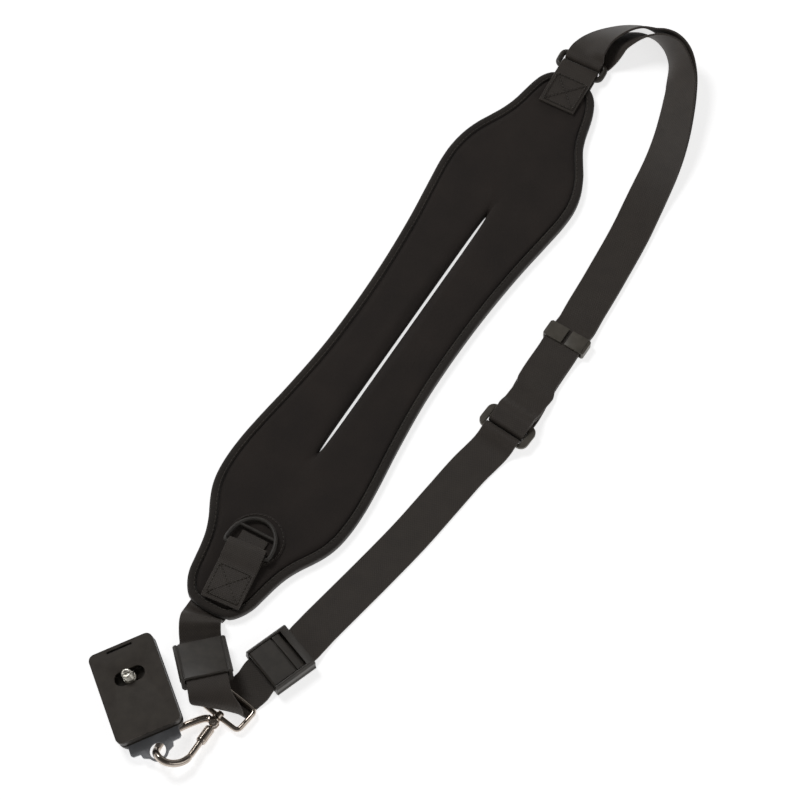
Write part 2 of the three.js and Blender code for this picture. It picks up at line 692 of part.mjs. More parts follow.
// Snap hook. Its frame has x along the swivel's axis, y across towards the spine and z up,
// and starts in the middle of the ring's near bar.

const HOOK_PATH = [
  { along: 4.4, across: 2.4, up: 3.9 },
  { along: 6.6, across: 5.2, up: 4 },
  { along: 11.6, across: 8.2, up: 4.2 },
  { along: 17.5, across: 11.2, up: 4.1 },
  { along: 23, across: 13.5, up: 3.8 },
  { along: 29, across: 14.8, up: 3.6 },
  { along: 34.6, across: 14.9, up: 3.7 },
  { along: 38.8, across: 13.8, up: 4.7 },
  { along: 41, across: 12.4, up: 7.3 },
  { along: 42.4, across: 10.6, up: 9.8 },
  { along: 43.5, across: 7.4, up: 11.2 },
  { along: 43.2, across: 3.6, up: 10.8 },
  { along: 41, across: 0, up: 9.4 },
  { along: 37.4, across: -2.8, up: 7.9 },
  { along: 33.8, across: -4.2, up: 7.1 },
  { along: 30.6, across: -4.5, up: 6.7 },
];

const inHook = ({ along, across, up }) => vec(along, -across, up - RING.z);

function hookFrame() {
  const toRing = heading(RING.heading - 90).multiplyScalar(RING_SIZE.wide / 2);
  return frameOf({ x: RING.x + toRing.x, y: RING.y + toRing.y, z: RING.z, heading: HOOK_HEADING });
}

function hookGeometry() {
  const hinge = inHook(GATE_HINGE);
  const bow = wire(HOOK_PATH.map(inHook), HOOK_WIRE, { steps: 46 });
  const shank = rod(1.3, vec(-2.6, 0, 0), vec(3.4, 0, 0), 14);
  const head = rod(2.4, vec(-3.1, 0, 0), vec(-1.9, 0, 0), 14);
  const collar = rod(3, vec(1.9, 0, 0), vec(3.5, 0, 0), 14);
  const root = box(3.6, 8.2, 5.6, 5, -0.4, 0.2);
  const cheeks = rod(2.5, hinge.clone().setZ(-2.2), hinge.clone().setZ(3.2), 16);
  const fork = box(9, 6.8, 2.6, 8.1, hinge.y + 1.1, hinge.z);
  const pin = rod(1, hinge.clone().setZ(-2), hinge.clone().setZ(3), 10);
  const blank = join(cut(join(root, cheeks, bow), fork), pin);
  return join(blank, shank, head, collar);
}

function gateGeometry() {
  const hinge = inHook(GATE_HINGE);
  const tip = inHook(GATE_TIP);
  const along = tip.clone().sub(hinge).normalize();
  const stemStart = hinge.clone().addScaledVector(along, 2.8);
  const stem = rod(GATE_WIRE / 2, stemStart, tip, 14);
  const tongue = rod(2, hinge.clone().add(vec(0, 0, -1)), hinge.clone().add(vec(0, 0, 1)), 14);
  const neck = box(5, 3.2, 2, 2.2, 0, 0);
  neck.rotateZ(Math.atan2(along.y, along.x)).translate(hinge.x, hinge.y, hinge.z);
  const bore = rod(1 + GAP, hinge.clone().add(vec(0, 0, -3)), hinge.clone().add(vec(0, 0, 3)), 12);
  return cut(join(stem, tongue, neck), bore);
}

function sleeveGeometry() {
  const hinge = inHook(GATE_HINGE);
  const along = inHook(GATE_TIP).sub(hinge).normalize();
  const from = hinge.clone().addScaledVector(along, SLEEVE.from);
  const to = from.clone().addScaledVector(along, SLEEVE.long);
  const start = from.clone().addScaledVector(along, -1);
  const end = to.clone().addScaledVector(along, 1);
  const bore = rod(SLEEVE.inner / 2, start, end, 18);
  return cut(rod(SLEEVE.outer / 2, from, to, 18), bore);
}

// Quick-release plate: x across its short side, y along its long side, z up from its underside

function slotShape() {
  const { long, wide, at } = SCREW_SLOT;
  return roundedShape(long, wide, wide / 2 - 0.01, 0, at);
}

function plateBody() {
  const { wide, long, tall, corner } = PLATE_SIZE;
  const body = cut(slab(roundedShape(wide, long, corner), 0, tall, 0.4), plateUndercut(1), plateUndercut(-1));
  const groove = { low: 5.4, high: 7.6, deep: 1 };
  const band = slab(roundedShape(wide + 2, long + 2, corner), groove.low, groove.high);
  const core = slab(roundedShape(wide - 2 * groove.deep, long - 2 * groove.deep, corner - 0.8), 0, tall);
  const pocket = box(POCKET.long, POCKET.wide, 2 * POCKET.top, 0, SCREW_SLOT.at, 0);
  const slotOutline = roundedShape(DECK_SLOT.long, DECK_SLOT.wide, DECK_SLOT.corner, 0, SCREW_SLOT.at);
  const slot = slab(slotOutline, 0, tall + 1);
  const seat = { wide: 2 * LUG.half + 2 * GAP, long: 26, tall: LUG.thick + 2 * GAP, at: -long / 2 + 6 };
  const seatRoom = box(seat.wide, seat.long, seat.tall, LUG.middle, seat.at, LUG.low + LUG.thick / 2);
  return cut(body, cut(band, core), pocket, slot, seatRoom);
}

// A long side of the plate slants in towards the underside
function plateUndercut(side) {
  const { wide, long, undercut, undercutTall } = PLATE_SIZE;
  const edge = wide / 2;
  const corners = [
    [edge - undercut, -1], [edge + 1, -1], [edge + 1, undercutTall], [edge, undercutTall],
    [edge - undercut, 0],
  ];
  const wedge = new THREE.ExtrudeGeometry(
    new THREE.Shape(corners.map(([x, z]) => new THREE.Vector2(x, z))),
    { depth: long + 2, bevelEnabled: false },
  );
  wedge.rotateX(Math.PI / 2).translate(0, long / 2 + 1, 0);
  return side > 0 ? wedge : wedge.rotateZ(Math.PI);
}

function plateRubber() {
  const { wide, long, tall, rubber: thick, corner } = PLATE_SIZE;
  const low = tall + GAP;
  const sheet = slab(roundedShape(wide, long, corner), low, low + thick);
  const slit = box(16, 0.9, 4, -0.5, long / 2 - 1.8, low + thick + 1.6);
  return cut(sheet, slab(slotShape(), 0, tall + 10), slit);
}

function lugGeometry() {
  const { middle, half, low, thick, holeAt, hole, ear } = LUG;
  const inner = -PLATE_SIZE.long / 2 + 18;
  const outline = new THREE.Shape();
  const outlineRows = [
    [-half, inner], [-half, -35.4], [-half + 1.2, -36.6], [-10.3, -36.8], [-9.6, -39.6],
  ];
  outline.moveTo(middle - half, inner);
  outlineRows.forEach(([x, y]) => outline.lineTo(middle + x, y));
  outline.absarc(middle, holeAt, ear, rad(205), rad(335), false);
  [...outlineRows].reverse().forEach(([x, y]) => outline.lineTo(middle - x, y));
  outline.closePath();
  const bore = rod(hole / 2, vec(middle, holeAt, low - 1), vec(middle, holeAt, low + thick + 1), 20);
  return cut(slab(outline, low, low + thick), bore);
}

function carriageGeometry() {
  const at = SCREW_SLOT.at;
  const { long, wide, low, high, boss: across, top } = CARRIAGE;
  const flange = slab(roundedShape(long, wide, 2, SCREW.at, at), low, high);
  const boss = rod(across / 2, vec(SCREW.at, at, low + 1), vec(SCREW.at, at, top), 18);
  const bore = rod(SCREW.shaft / 2 + GAP, vec(SCREW.at, at, 4), vec(SCREW.at, at, 14), 18);
  return cut(join(flange, boss), bore);
}

function screwGeometry() {
  const at = SCREW_SLOT.at;
  const shaft = rod(SCREW.shaft / 2, vec(SCREW.at, at, 3), vec(SCREW.at, at, SCREW.top), 18);
  const head = rod(SCREW.head / 2, vec(SCREW.at, at, 2.9), vec(SCREW.at, at, 5.1), 18);
  const driverSlot = box(SCREW.head + 2, 1.4, 2.4, SCREW.at, at, 2.9);
  const tipSlot = box(SCREW.head, 1.2, 2.4, SCREW.at, at, SCREW.top);
  return cut(join(shaft, head), driverSlot, tipSlot);
}

// Assembly

padParts();
place('webbing', band(webbingRoute(), WEBBING), webbing);
place('top_tab', topTab(), webbing);
place('top_loop', topLoopGeometry(), plastic, frameOf(TOP_LOOP));
const patchShape = new THREE.Shape().absarc(0, 0, PATCH.radius, 0, 2 * Math.PI);
place('dring_patch', slab(patchShape, 0, PATCH.thick), neoprene, frameOf({ ...PATCH, heading: 0 }));
place('lower_tab', lowerTab(), webbing);
place('d_ring', dRingGeometry(), paintedMetal, frameOf(D_RING));
place('keeper', keeperGeometry(), plastic, frameOf(KEEPER));
place('slider', sliderGeometry(), plastic, frameOf(SLIDER));
stopper('stopper_a', STOPPER_A, false);
stopper('stopper_b', STOPPER_B, true);
place('ring', ringGeometry(), nickel, frameOf(RING));

const hookPlace = hookFrame();
place('hook', hookGeometry(), nickel, hookPlace);
place('gate', gateGeometry(), nickel, hookPlace);
place('gate_sleeve', sleeveGeometry(), nickel, hookPlace);

const platePlace = frameOf(PLATE);
place('plate_body', plateBody(), paintedMetal, platePlace);
place('plate_rubber', plateRubber(), rubber, platePlace);
place('lug', lugGeometry(), greySteel, platePlace);
place('screw_carriage', carriageGeometry(), nickel, platePlace);
place('tripod_screw', screwGeometry(), nickel, platePlace);

const group = new THREE.Group();
group.name = 'camera_neck_strap';
group.add(layout);

export default group;
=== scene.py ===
# The looks of a sling-type camera strap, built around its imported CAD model.
#
# Lengths are in millimetres in the same layout as the part's own source, and each finished piece is
# brought to metres, with the middle of the footprint at the origin.

import math
from types import SimpleNamespace as Sizes

import bpy
from mathutils import Matrix, Vector


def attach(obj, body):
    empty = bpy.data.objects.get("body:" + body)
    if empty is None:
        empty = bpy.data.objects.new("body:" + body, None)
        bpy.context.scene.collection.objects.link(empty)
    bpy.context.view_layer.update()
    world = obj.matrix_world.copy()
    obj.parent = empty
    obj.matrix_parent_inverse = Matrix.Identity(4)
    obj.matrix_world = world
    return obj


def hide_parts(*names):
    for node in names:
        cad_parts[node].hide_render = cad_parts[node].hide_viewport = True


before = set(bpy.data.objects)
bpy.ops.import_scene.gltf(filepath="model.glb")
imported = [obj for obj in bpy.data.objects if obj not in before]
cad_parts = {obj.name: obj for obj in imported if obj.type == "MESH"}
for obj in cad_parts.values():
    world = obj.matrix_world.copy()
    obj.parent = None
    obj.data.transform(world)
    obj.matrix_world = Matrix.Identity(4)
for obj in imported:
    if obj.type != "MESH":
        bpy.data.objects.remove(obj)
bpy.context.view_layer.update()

MM = 0.001
FOOTPRINT_MIDDLE = Vector((4.17, 15.59, 0))
TO_METRES = Matrix.Scale(MM, 4) @ Matrix.Translation(-FOOTPRINT_MIDDLE)
UP = Vector((0, 0, 1))


def table(columns, *rows):
    """Rows of numbers under the names of their columns."""
    return [dict(zip(columns.split(), row)) for row in rows]


# Camera, floor and light

CAMERA_HEIGHT_ANGLE = 63.5     # degrees over the floor
CAMERA_DISTANCE = 1975.3
FOCAL_PIXELS = 3200
SENSOR_MM = 36
IMAGE_PIXELS = 800


def add_camera():
    angle = math.radians(CAMERA_HEIGHT_ANGLE)
    place = Vector((0, -math.cos(angle), math.sin(angle))) * CAMERA_DISTANCE
    bpy.ops.object.camera_add(location=TO_METRES @ place, rotation=(math.radians(90) - angle, 0, 0))
    camera = bpy.context.object
    camera.data.sensor_width = SENSOR_MM
    camera.data.lens = SENSOR_MM * FOCAL_PIXELS / IMAGE_PIXELS
    camera.data.clip_end = 20
    bpy.context.scene.camera = camera


def add_light(name, place, size, watts):
    """A round area light that faces the middle of the strap."""
    bpy.ops.object.light_add(type="AREA", location=place)
    light = bpy.context.object
    light.name = name
    light.data.shape = "DISK"
    light.data.size = size
    light.data.energy = watts
    light.rotation_euler = (-Vector(place)).to_track_quat("-Z", "Y").to_euler()


def linear(hex_colour):
    """An sRGB hex colour as a linear one."""
    channels = []
    for start in (0, 2, 4):
        value = int(hex_colour[start:start + 2], 16) / 255
        channels.append(value / 12.92 if value <= 0.04045 else ((value + 0.055) / 1.055) ** 2.4)
    return (*channels, 1)


def add_node(tree, kind, settings=None, inputs=None):
    """One shader node, with its settings, and its inputs given as values or as other nodes' outputs."""
    made = tree.nodes.new(kind)
    for key, value in (settings or {}).items():
        setattr(made, key, value)
    for key, value in (inputs or {}).items():
        if isinstance(value, bpy.types.NodeSocket):
            tree.links.new(value, made.inputs[key])
        else:
            made.inputs[key].default_value = value
    return made


def set_ramp(ramp, *stops):
    """Gives a colour ramp's two stops their positions and colours."""
    for element, (position, colour) in zip(ramp.color_ramp.elements, stops):
        element.position = position
        element.color = colour


def new_material(name, roughness, metallic=0, **sockets):
    """A material with constant values on its shader's own sockets."""
    material = bpy.data.materials.new(name)
    material.use_nodes = True
    tree = material.node_tree
    shader = tree.nodes["Principled BSDF"]
    shader.inputs["Roughness"].default_value = roughness
    shader.inputs["Metallic"].default_value = metallic
    for key, value in sockets.items():
        shader.inputs[key.replace("_", " ")].default_value = value
    return material, tree, shader


def mottled(tree, where, dark, light, patch_mm, detail=3):
    """A colour that wanders between two hex colours in patches of the given size."""
    spread = {"Vector": where, "Scale": 1 / (patch_mm * MM), "Detail": detail}
    noise = add_node(tree, "ShaderNodeTexNoise", {}, spread)
    ramp = add_node(tree, "ShaderNodeValToRGB", {}, {"Fac": noise.outputs["Fac"]})
    set_ramp(ramp, (0.3, linear(dark)), (0.7, linear(light)))
    return ramp.outputs["Color"]


def grained(name, dark, light, roughness, patch_mm, grain_mm, depth_mm, strength,
            patch_detail=3, grain_detail=2, **sockets):
    """A material in patches of two close colours, with a grain that stands up from its surface."""
    material, tree, shader = new_material(name, roughness, **sockets)
    where = add_node(tree, "ShaderNodeTexCoord").outputs["Object"]
    patches = mottled(tree, where, dark, light, patch_mm, patch_detail)
    tree.links.new(patches, shader.inputs["Base Color"])
    fine = {"Vector": where, "Scale": 1 / (grain_mm * MM), "Detail": grain_detail}
    grain = add_node(tree, "ShaderNodeTexNoise", {}, fine).outputs["Fac"]
    relief = {"Height": grain, "Distance": depth_mm * MM, "Strength": strength}
    bump = add_node(tree, "ShaderNodeBump", {}, relief)
    tree.links.new(bump.outputs["Normal"], shader.inputs["Normal"])
    return material, tree, shader, grain


# Fine weaves would not show at the photograph's scale, so these pitches are about twice the real ones.
WARP_PITCH = 1.5
WEFT_PITCH = 1.8
YARN_RELIEF = 0.18


def woven_nylon():
    """A tight weave on the band's own length and width, raised where warp and weft yarns cross, and
    painted lighter there as a painted highlight on the yarns' crests.
    """
    material, tree, shader = new_material(
        "woven_nylon_webbing", 0.62, Sheen_Weight=0.12, Sheen_Roughness=0.4)
    weave = add_node(tree, "ShaderNodeAttribute", {"attribute_name": "weave"})
    parts = add_node(tree, "ShaderNodeSeparateXYZ", {}, {"Vector": weave.outputs["Vector"]})
    yarns = []
    for axis, pitch in (("X", WARP_PITCH), ("Y", WEFT_PITCH)):
        turn = {0: parts.outputs[axis], 1: 2 * math.pi / pitch}
        turns = add_node(tree, "ShaderNodeMath", {"operation": "MULTIPLY"}, turn)
        yarns.append(add_node(tree, "ShaderNodeMath", {"operation": "SINE"}, {0: turns.outputs[0]}))
    both = {0: yarns[0].outputs[0], 1: yarns[1].outputs[0]}
    crossing = add_node(tree, "ShaderNodeMath", {"operation": "MULTIPLY"}, both)
    around_half = {0: crossing.outputs[0], 1: 0.3, 2: 0.5}
    height = add_node(tree, "ShaderNodeMath", {"operation": "MULTIPLY_ADD"}, around_half).outputs[0]
    where = add_node(tree, "ShaderNodeTexCoord").outputs["Object"]
    # The crests where the yarns cross get the lighter colour: a painted highlight on top of the bump
    raised = add_node(tree, "ShaderNodeMix", {"data_type": "RGBA"}, {"Factor": height})
    tree.links.new(mottled(tree, where, "2a2521", "38322c", 9), raised.inputs["A"])
    raised.inputs["B"].default_value = linear("463e37")
    tree.links.new(raised.outputs["Result"], shader.inputs["Base Color"])
    relief = {"Height": height, "Distance": YARN_RELIEF * MM, "Strength": 0.8}
    bump = add_node(tree, "ShaderNodeBump", {}, relief)
    tree.links.new(bump.outputs["Normal"], shader.inputs["Normal"])
    return material


def brushed_knit(name, dark, light, sheen):
    """Brushed yarns: no shine but for a short nap, with a fine even grain."""
    return grained(name, dark, light, 0.88, patch_mm=24, patch_detail=5, grain_mm=0.9, depth_mm=0.12,
                   strength=0.6, Sheen_Weight=sheen, Sheen_Roughness=0.5)[0]


def moulded(name, dark, light, roughness, grain_mm, depth_mm):
    """An even skin with the fine grain of its mould or coat, and slight handling marks."""
    return grained(name, dark, light, roughness, patch_mm=6, grain_mm=grain_mm, depth_mm=depth_mm,
                   strength=0.5)[0]


def plated(name, dark, light, roughness, blur):
    """A mirror skin over slightly uneven metal, with faint smears that blur it."""
    material, tree, shader, smears = grained(
        name, dark, light, roughness, patch_mm=5, grain_mm=3, grain_detail=4, depth_mm=0.03,
        strength=0.3, metallic=1)
    blurred = {"Value": smears, "To Min": roughness, "To Max": blur}
    spread = add_node(tree, "ShaderNodeMapRange", {}, blurred)
    tree.links.new(spread.outputs["Result"], shader.inputs["Roughness"])
    return material


# Nylon yarns woven tight: short ribs with a slight sheen, their crests painted lighter as a painted
# highlight, on an otherwise dull band
WEBBING_CLOTH = woven_nylon()
# Polyester knit with a brushed face: an even, light-swallowing black with a soft nap
PAD_CLOTH = brushed_knit("brushed_polyester_knit", "251e1a", "2f2722", 0.15)
# Knit tape folded round the edge: a shade lighter than the panel, as its nap is pressed flat
BINDING_CLOTH = brushed_knit("folded_binding_tape", "27221e", "332d28", 0.2)
# Bonded nylon thread: lighter than the cloth, so that each stitch shows
THREAD = brushed_knit("bonded_nylon_thread", "3a342e", "4a433b", 0.3)
# Acetal from an eroded mould: a low shine that a fine grain breaks up
ACETAL = moulded("moulded_acetal", "36322d", "423d37", 0.42, 0.5, 0.04)
# Acetal from a smoother mould, its colour painted paler: a painted sheen for the brighter look of the
# slider and the keeper
ACETAL_PAINTED_PALER = moulded("acetal_painted_paler", "58544c", "67625a", 0.34, 0.6, 0.03)
# Powder coat on aluminium or steel: a satin black whose fine bumps spread the highlights
COATED_METAL = moulded("powder_coated_aluminium", "322e2a", "3d3934", 0.5, 0.35, 0.06)
# Moulded rubber: a flat warm grey with hardly any highlight
RUBBER = moulded("moulded_rubber", "3e3832", "48423b", 0.72, 0.6, 0.08)
# Nickel plate on cast zinc: mirror bright, dulled a little by handling
NICKEL = plated("nickel_plated_zinc", "b0a499", "c8bdb2", 0.1, 0.25)
# Fresh nickel plate on turned steel: pale, with broad soft reflections
BRIGHT_NICKEL = plated("bright_nickel", "e0dcd0", "f0ece2", 0.2, 0.4)
# Enamelled steel: a flat cool grey with a soft shine
GREY_STEEL = moulded("grey_enamelled_steel", "8a8c90", "9a9ca0", 0.35, 0.4, 0.03)


FLOOR_GLOW = 0.7              # the paper is lit from below, so that it stays white with faint shadows
WHITE = (1, 1, 1, 1)
DIM_CEILING = (0.12, 0.115, 0.11, 1)


def floor_material():
    material, tree, shader = new_material("white_paper", 0.9)
    where = add_node(tree, "ShaderNodeTexCoord").outputs["Object"]
    tree.links.new(mottled(tree, where, "f6f6f7", "f9f9fa", 60), shader.inputs["Base Color"])
    shader.inputs["Emission Color"].default_value = WHITE
    shader.inputs["Emission Strength"].default_value = FLOOR_GLOW
    return material


def add_floor():
    bpy.ops.mesh.primitive_plane_add(size=6, location=(0, 0, 0))
    floor = bpy.context.object
    floor.name = "floor"
    floor.data.materials.append(floor_material())


def add_world():
    """A bright band near the horizon that falls off overhead, as in a studio with white walls."""
    world = bpy.data.worlds.new("studio")
    bpy.context.scene.world = world
    world.use_nodes = True
    tree = world.node_tree
    background = tree.nodes["Background"]
    where = add_node(tree, "ShaderNodeTexCoord").outputs["Generated"]
    parts = add_node(tree, "ShaderNodeSeparateXYZ", {}, {"Vector": where})
    ramp = add_node(tree, "ShaderNodeValToRGB", {}, {"Fac": parts.outputs["Z"]})
    set_ramp(ramp, (0.15, WHITE), (0.75, DIM_CEILING))
    tree.links.new(ramp.outputs["Color"], background.inputs["Color"])
    background.inputs["Strength"].default_value = 0.5


add_camera()
add_floor()
add_world()
add_light("key", place=(-0.9, 0.9, 1.6), size=0.8, watts=12)
add_light("fill", place=(1.3, -0.9, 1.2), size=1.2, watts=3)
bpy.context.scene.view_settings.view_transform = "Standard"


# Making pieces

FINE_STEPS = 24                # points in each span of a curve that is measured


def select_only(*pieces):
    """Selects these pieces and nothing else, and makes the first of them the active one."""
    bpy.ops.object.select_all(action="DESELECT")
    for piece in reversed(pieces):
        piece.select_set(True)
        bpy.context.view_layer.objects.active = piece


def finish_mesh(piece, name, smooth_angle=35):
    """Merges doubled points, closes open ends, turns the faces outwards and smooths gentle edges."""
    piece.name = name
    piece.data.name = name
    bpy.ops.object.mode_set(mode="EDIT")
    bpy.ops.mesh.select_all(action="SELECT")
    bpy.ops.mesh.remove_doubles(threshold=0.002)
    bpy.ops.mesh.select_all(action="SELECT")
    bpy.ops.mesh.fill_holes(sides=0)
    bpy.ops.mesh.select_all(action="SELECT")
    bpy.ops.mesh.normals_make_consistent(inside=False)
    bpy.ops.object.mode_set(mode="OBJECT")
    bpy.ops.object.shade_smooth_by_angle(angle=math.radians(smooth_angle))


def wrapped_grid(name, columns, rows, place, weave=None, smooth_angle=35):
    """A grid primitive whose points are laid by place(column, row), such as round and along a band."""
    select_only()
    bpy.ops.mesh.primitive_grid_add(x_subdivisions=columns, y_subdivisions=rows, size=1)
    piece = bpy.context.object
    points = piece.data.vertices
    steps = [(round((p.co.x + 0.5) * columns), round((p.co.y + 0.5) * rows)) for p in points]
    if weave:
        layer = piece.data.attributes.new("weave", "FLOAT_VECTOR", "POINT")
        for row, step in zip(layer.data, steps):
            row.vector = weave(*step)
    for point, step in zip(points, steps):
        point.co = place(*step)
    finish_mesh(piece, name, smooth_angle)
    return piece


def modify(piece, kind, **settings):
    """Adds one modifier and applies it."""
    select_only(piece)
    modifier = piece.modifiers.new(kind.lower(), kind)
    for key, value in settings.items():
        setattr(modifier, key, value)
    bpy.ops.object.modifier_apply(modifier=modifier.name)
    return piece


def soften(piece, width, segments=2, angle=30):
    """Rounds the edges that are sharper than the angle."""
    sharp = math.radians(angle)
    modify(piece, "BEVEL", width=width, segments=segments, limit_method="ANGLE", angle_limit=sharp)
    bpy.ops.object.shade_smooth_by_angle(angle=math.radians(35))
    return piece


def combine(piece, *tools, operation="DIFFERENCE"):
    """Cuts the tools out of the piece, or joins them to it, and removes them."""
    for tool in tools:
        modify(piece, "BOOLEAN", object=tool, operation=operation, solver="EXACT")
        bpy.data.objects.remove(tool)
    return piece


def slab(name, outline, low, high):
    """A flat plate: a circle primitive laid on the outline, filled and extruded up."""
    select_only()
    bpy.ops.mesh.primitive_circle_add(vertices=len(outline), radius=1, fill_type="NGON")
    piece = bpy.context.object
    for point, (x, y) in zip(piece.data.vertices, outline):
        point.co = (x, y, low)
    bpy.ops.object.mode_set(mode="EDIT")
    bpy.ops.mesh.select_all(action="SELECT")
    bpy.ops.mesh.extrude_region_move(TRANSFORM_OT_translate={"value": (0, 0, high - low)})
    bpy.ops.object.mode_set(mode="OBJECT")
    finish_mesh(piece, name)
    return piece


def block(name, long, wide, tall, x=0, y=0, z=0):
    """A box with its middle at x, y, z."""
    corners = [(x + sx * long / 2, y + sy * wide / 2) for sx, sy in ((1, 1), (-1, 1), (-1, -1), (1, -1))]
    return slab(name, corners, z - tall / 2, z + tall / 2)


def rod(name, radius, start, end, sides=32):
    """A cylinder primitive between two points."""
    start, end = Vector(start), Vector(end)
    turn = (end - start).to_track_quat("Z", "Y").to_euler()
    select_only()
    middle, long = (start + end) / 2, (end - start).length
    bpy.ops.mesh.primitive_cylinder_add(
        vertices=sides, radius=radius, depth=long, location=middle, rotation=turn)
    bpy.ops.object.transform_apply(location=True, rotation=True, scale=True)
    piece = bpy.context.object
    piece.name = name
    bpy.ops.object.shade_smooth_by_angle(angle=math.radians(35))
    return piece


def rounded_outline(long, wide, corner, x=0, y=0, steps=6):
    """A rectangle with rounded corners."""
    points = []
    for sx, sy, start in ((1, 1, 0), (-1, 1, 90), (-1, -1, 180), (1, -1, 270)):
        for step in range(steps + 1):
            angle = math.radians(start + 90 * step / steps)
            px = x + sx * (long / 2 - corner) + corner * math.cos(angle)
            py = y + sy * (wide / 2 - corner) + corner * math.sin(angle)
            if not points or math.dist(points[-1], (px, py)) > 0.01:
                points.append((px, py))
    if math.dist(points[0], points[-1]) < 0.01:
        points.pop()
    return points


def centripetal(points, closed=False):
    """A smooth curve through the points: a function of a position from 0 to the number of spans."""
    points = [Vector(p) for p in points]
    count = len(points)

    def pick(n):
        if closed:
            return points[n % count]
        if n < 0:
            return 2 * points[0] - points[1]
        if n >= count:
            return 2 * points[-1] - points[-2]
        return points[n]

    def curve(position):
        spans = count if closed else count - 1
        span = min(int(position), spans - 1)
        share = position - span
        a, b, c, d = (pick(span + k) for k in (-1, 0, 1, 2))
        t1 = max((b - a).length, 1e-6) ** 0.5
        t2 = t1 + max((c - b).length, 1e-6) ** 0.5
        t3 = t2 + max((d - c).length, 1e-6) ** 0.5
        t = t1 + share * (t2 - t1)
        ab = a.lerp(b, t / t1)
        bc = b.lerp(c, (t - t1) / (t2 - t1))
        cd = c.lerp(d, (t - t2) / (t3 - t2))
        abc = ab + (bc - ab) * (t / t2)
        bcd = bc + (cd - bc) * ((t - t1) / (t3 - t1))
        return abc + (bcd - abc) * ((t - t1) / (t2 - t1))

    return curve


def lengths_along(line):
    """The distance from the start of a line of points to each of them."""
    lengths = [0.0]
    for before, after in zip(line, line[1:]):
        lengths.append(lengths[-1] + (after - before).length)
    return lengths


def points_at(line, shares):
    """Points at rising shares of the whole length of a line of points."""
    lengths = lengths_along(line)
    result = []
    at = 0
    for share in shares:
        wanted = lengths[-1] * share
        while at < len(line) - 2 and lengths[at + 1] < wanted:
            at += 1
        gap = max(lengths[at + 1] - lengths[at], 1e-9)
        result.append(line[at].lerp(line[at + 1], min((wanted - lengths[at]) / gap, 1)))
    return result


def even_points(points, steps, closed=False):
    """Points at even distances along the smooth curve through the given ones."""
    curve = centripetal(points, closed)
    spans = len(points) if closed else len(points) - 1
    fine = [curve(n / FINE_STEPS) for n in range(spans * FINE_STEPS + 1)]
    return points_at(fine, [n / steps for n in range(steps + 1)])


def tube(name, points, radius, closed=False, steps=96, sides=20, smooth_angle=45, even=True):
    """A round wire along a smooth curve, with a frame carried along it without twisting.

    The radius is a number, or a function of the share of the wire's length."""
    path = even_points(points, steps, closed) if even else points
    steps = len(path) - 1
    frames = []
    for n in range(steps + 1):
        ahead = path[(n + 1) % steps] if closed else path[min(n + 1, steps)]
        behind = path[(n - 1) % steps] if closed else path[max(n - 1, 0)]
        along = (ahead - behind).normalized()
        side = frames[-1][0] - along * frames[-1][0].dot(along) if frames else along.orthogonal()
        side.normalize()
        frames.append((side, along.cross(side)))
    twist = 0
    if closed:
        first, last = frames[0][0], frames[-1][0]
        twist = math.atan2(first.dot(frames[-1][1]), first.dot(last))

    def place(column, row):
        side, other = frames[row]
        angle = 2 * math.pi * column / sides + twist * row / steps
        reach = radius(row / steps) if callable(radius) else radius
        return path[row] + (side * math.cos(angle) + other * math.sin(angle)) * reach

    return wrapped_grid(name, sides, steps, place, smooth_angle=smooth_angle)


def joined(name, *pieces):
    """Several finished meshes made one object."""
    select_only(*pieces)
    bpy.ops.object.join()
    pieces[0].name = name
    pieces[0].data.name = name
    return pieces[0]


def frame_of(x, y, z=0, heading=0, pitch=0, flipped=False):
    """A fitting's own frame: its heading over the floor, its pitch, and whether it lies on its back."""
    turn = Matrix.Rotation(math.radians(heading), 4, "Z") @ Matrix.Rotation(math.radians(-pitch), 4, "Y")
    if flipped:
        turn = turn @ Matrix.Rotation(math.pi, 4, "X")
    return Matrix.Translation((x, y, z)) @ turn


def floor_frame(fitting):
    """A fitting's frame laid flat on the floor."""
    return frame_of(fitting["x"], fitting["y"], 0, fitting["heading"])


def settle(piece, material, body, place=None, stands_for=()):
    """Moves a finished piece to its place, in metres, gives it its material and ties it to its body."""
    select_only(piece)
    piece.matrix_world = TO_METRES @ (place or Matrix.Identity(4))
    bpy.ops.object.transform_apply(location=True, rotation=True, scale=True)
    piece.data.materials.clear()
    piece.data.materials.append(material)
    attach(piece, body)
    if stands_for:
        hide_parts(*stands_for)
    return piece


def direction(degrees):
    """The flat unit vector with this heading."""
    return Vector((math.cos(math.radians(degrees)), math.sin(math.radians(degrees)), 0))


# Sizes and places shared with the part's source

GAP = 0.3
WEBBING_WIDE = 25
PLY = 1.5
ON_TABLE = PLY / 2
NEXT_PLY = PLY + GAP

PAD = dict(x=2.8, y=46.7, heading=57.9)
PAD_THICK = 5.6
BINDING_WIDE = 5.5
SLIT_LONG = 196.7
SLIT_WIDE = 2.2
SLIT_FACES = 190               # half of the length of the pad's edge that the slit's sides face

TOP_LOOP = dict(x=118, y=240.5, z=3.9, heading=62)
LOWER_TAB = dict(x=-92.5, y=-105.4, z=9.9, heading=65.7)
D_RING = dict(x=-92.5, y=-105.4, z=9.9, heading=61)
KEEPER = dict(x=103.8, y=40.6, heading=57.3)
SLIDER = dict(x=65.9, y=-20.5, z=4.8, heading=54)
STOPPER_A = dict(x=-70.5, y=-174, z=0, heading=218)
STOPPER_B = dict(x=-116.3, y=-176.4, z=15, heading=103, pitch=-22, flipped=True)
RING = dict(x=-101.4, y=-202.9, z=3.45, heading=-39.6)
PLATE = dict(x=-153.3, y=-195.6, z=4.3, heading=20, pitch=12)


# Shoulder pad

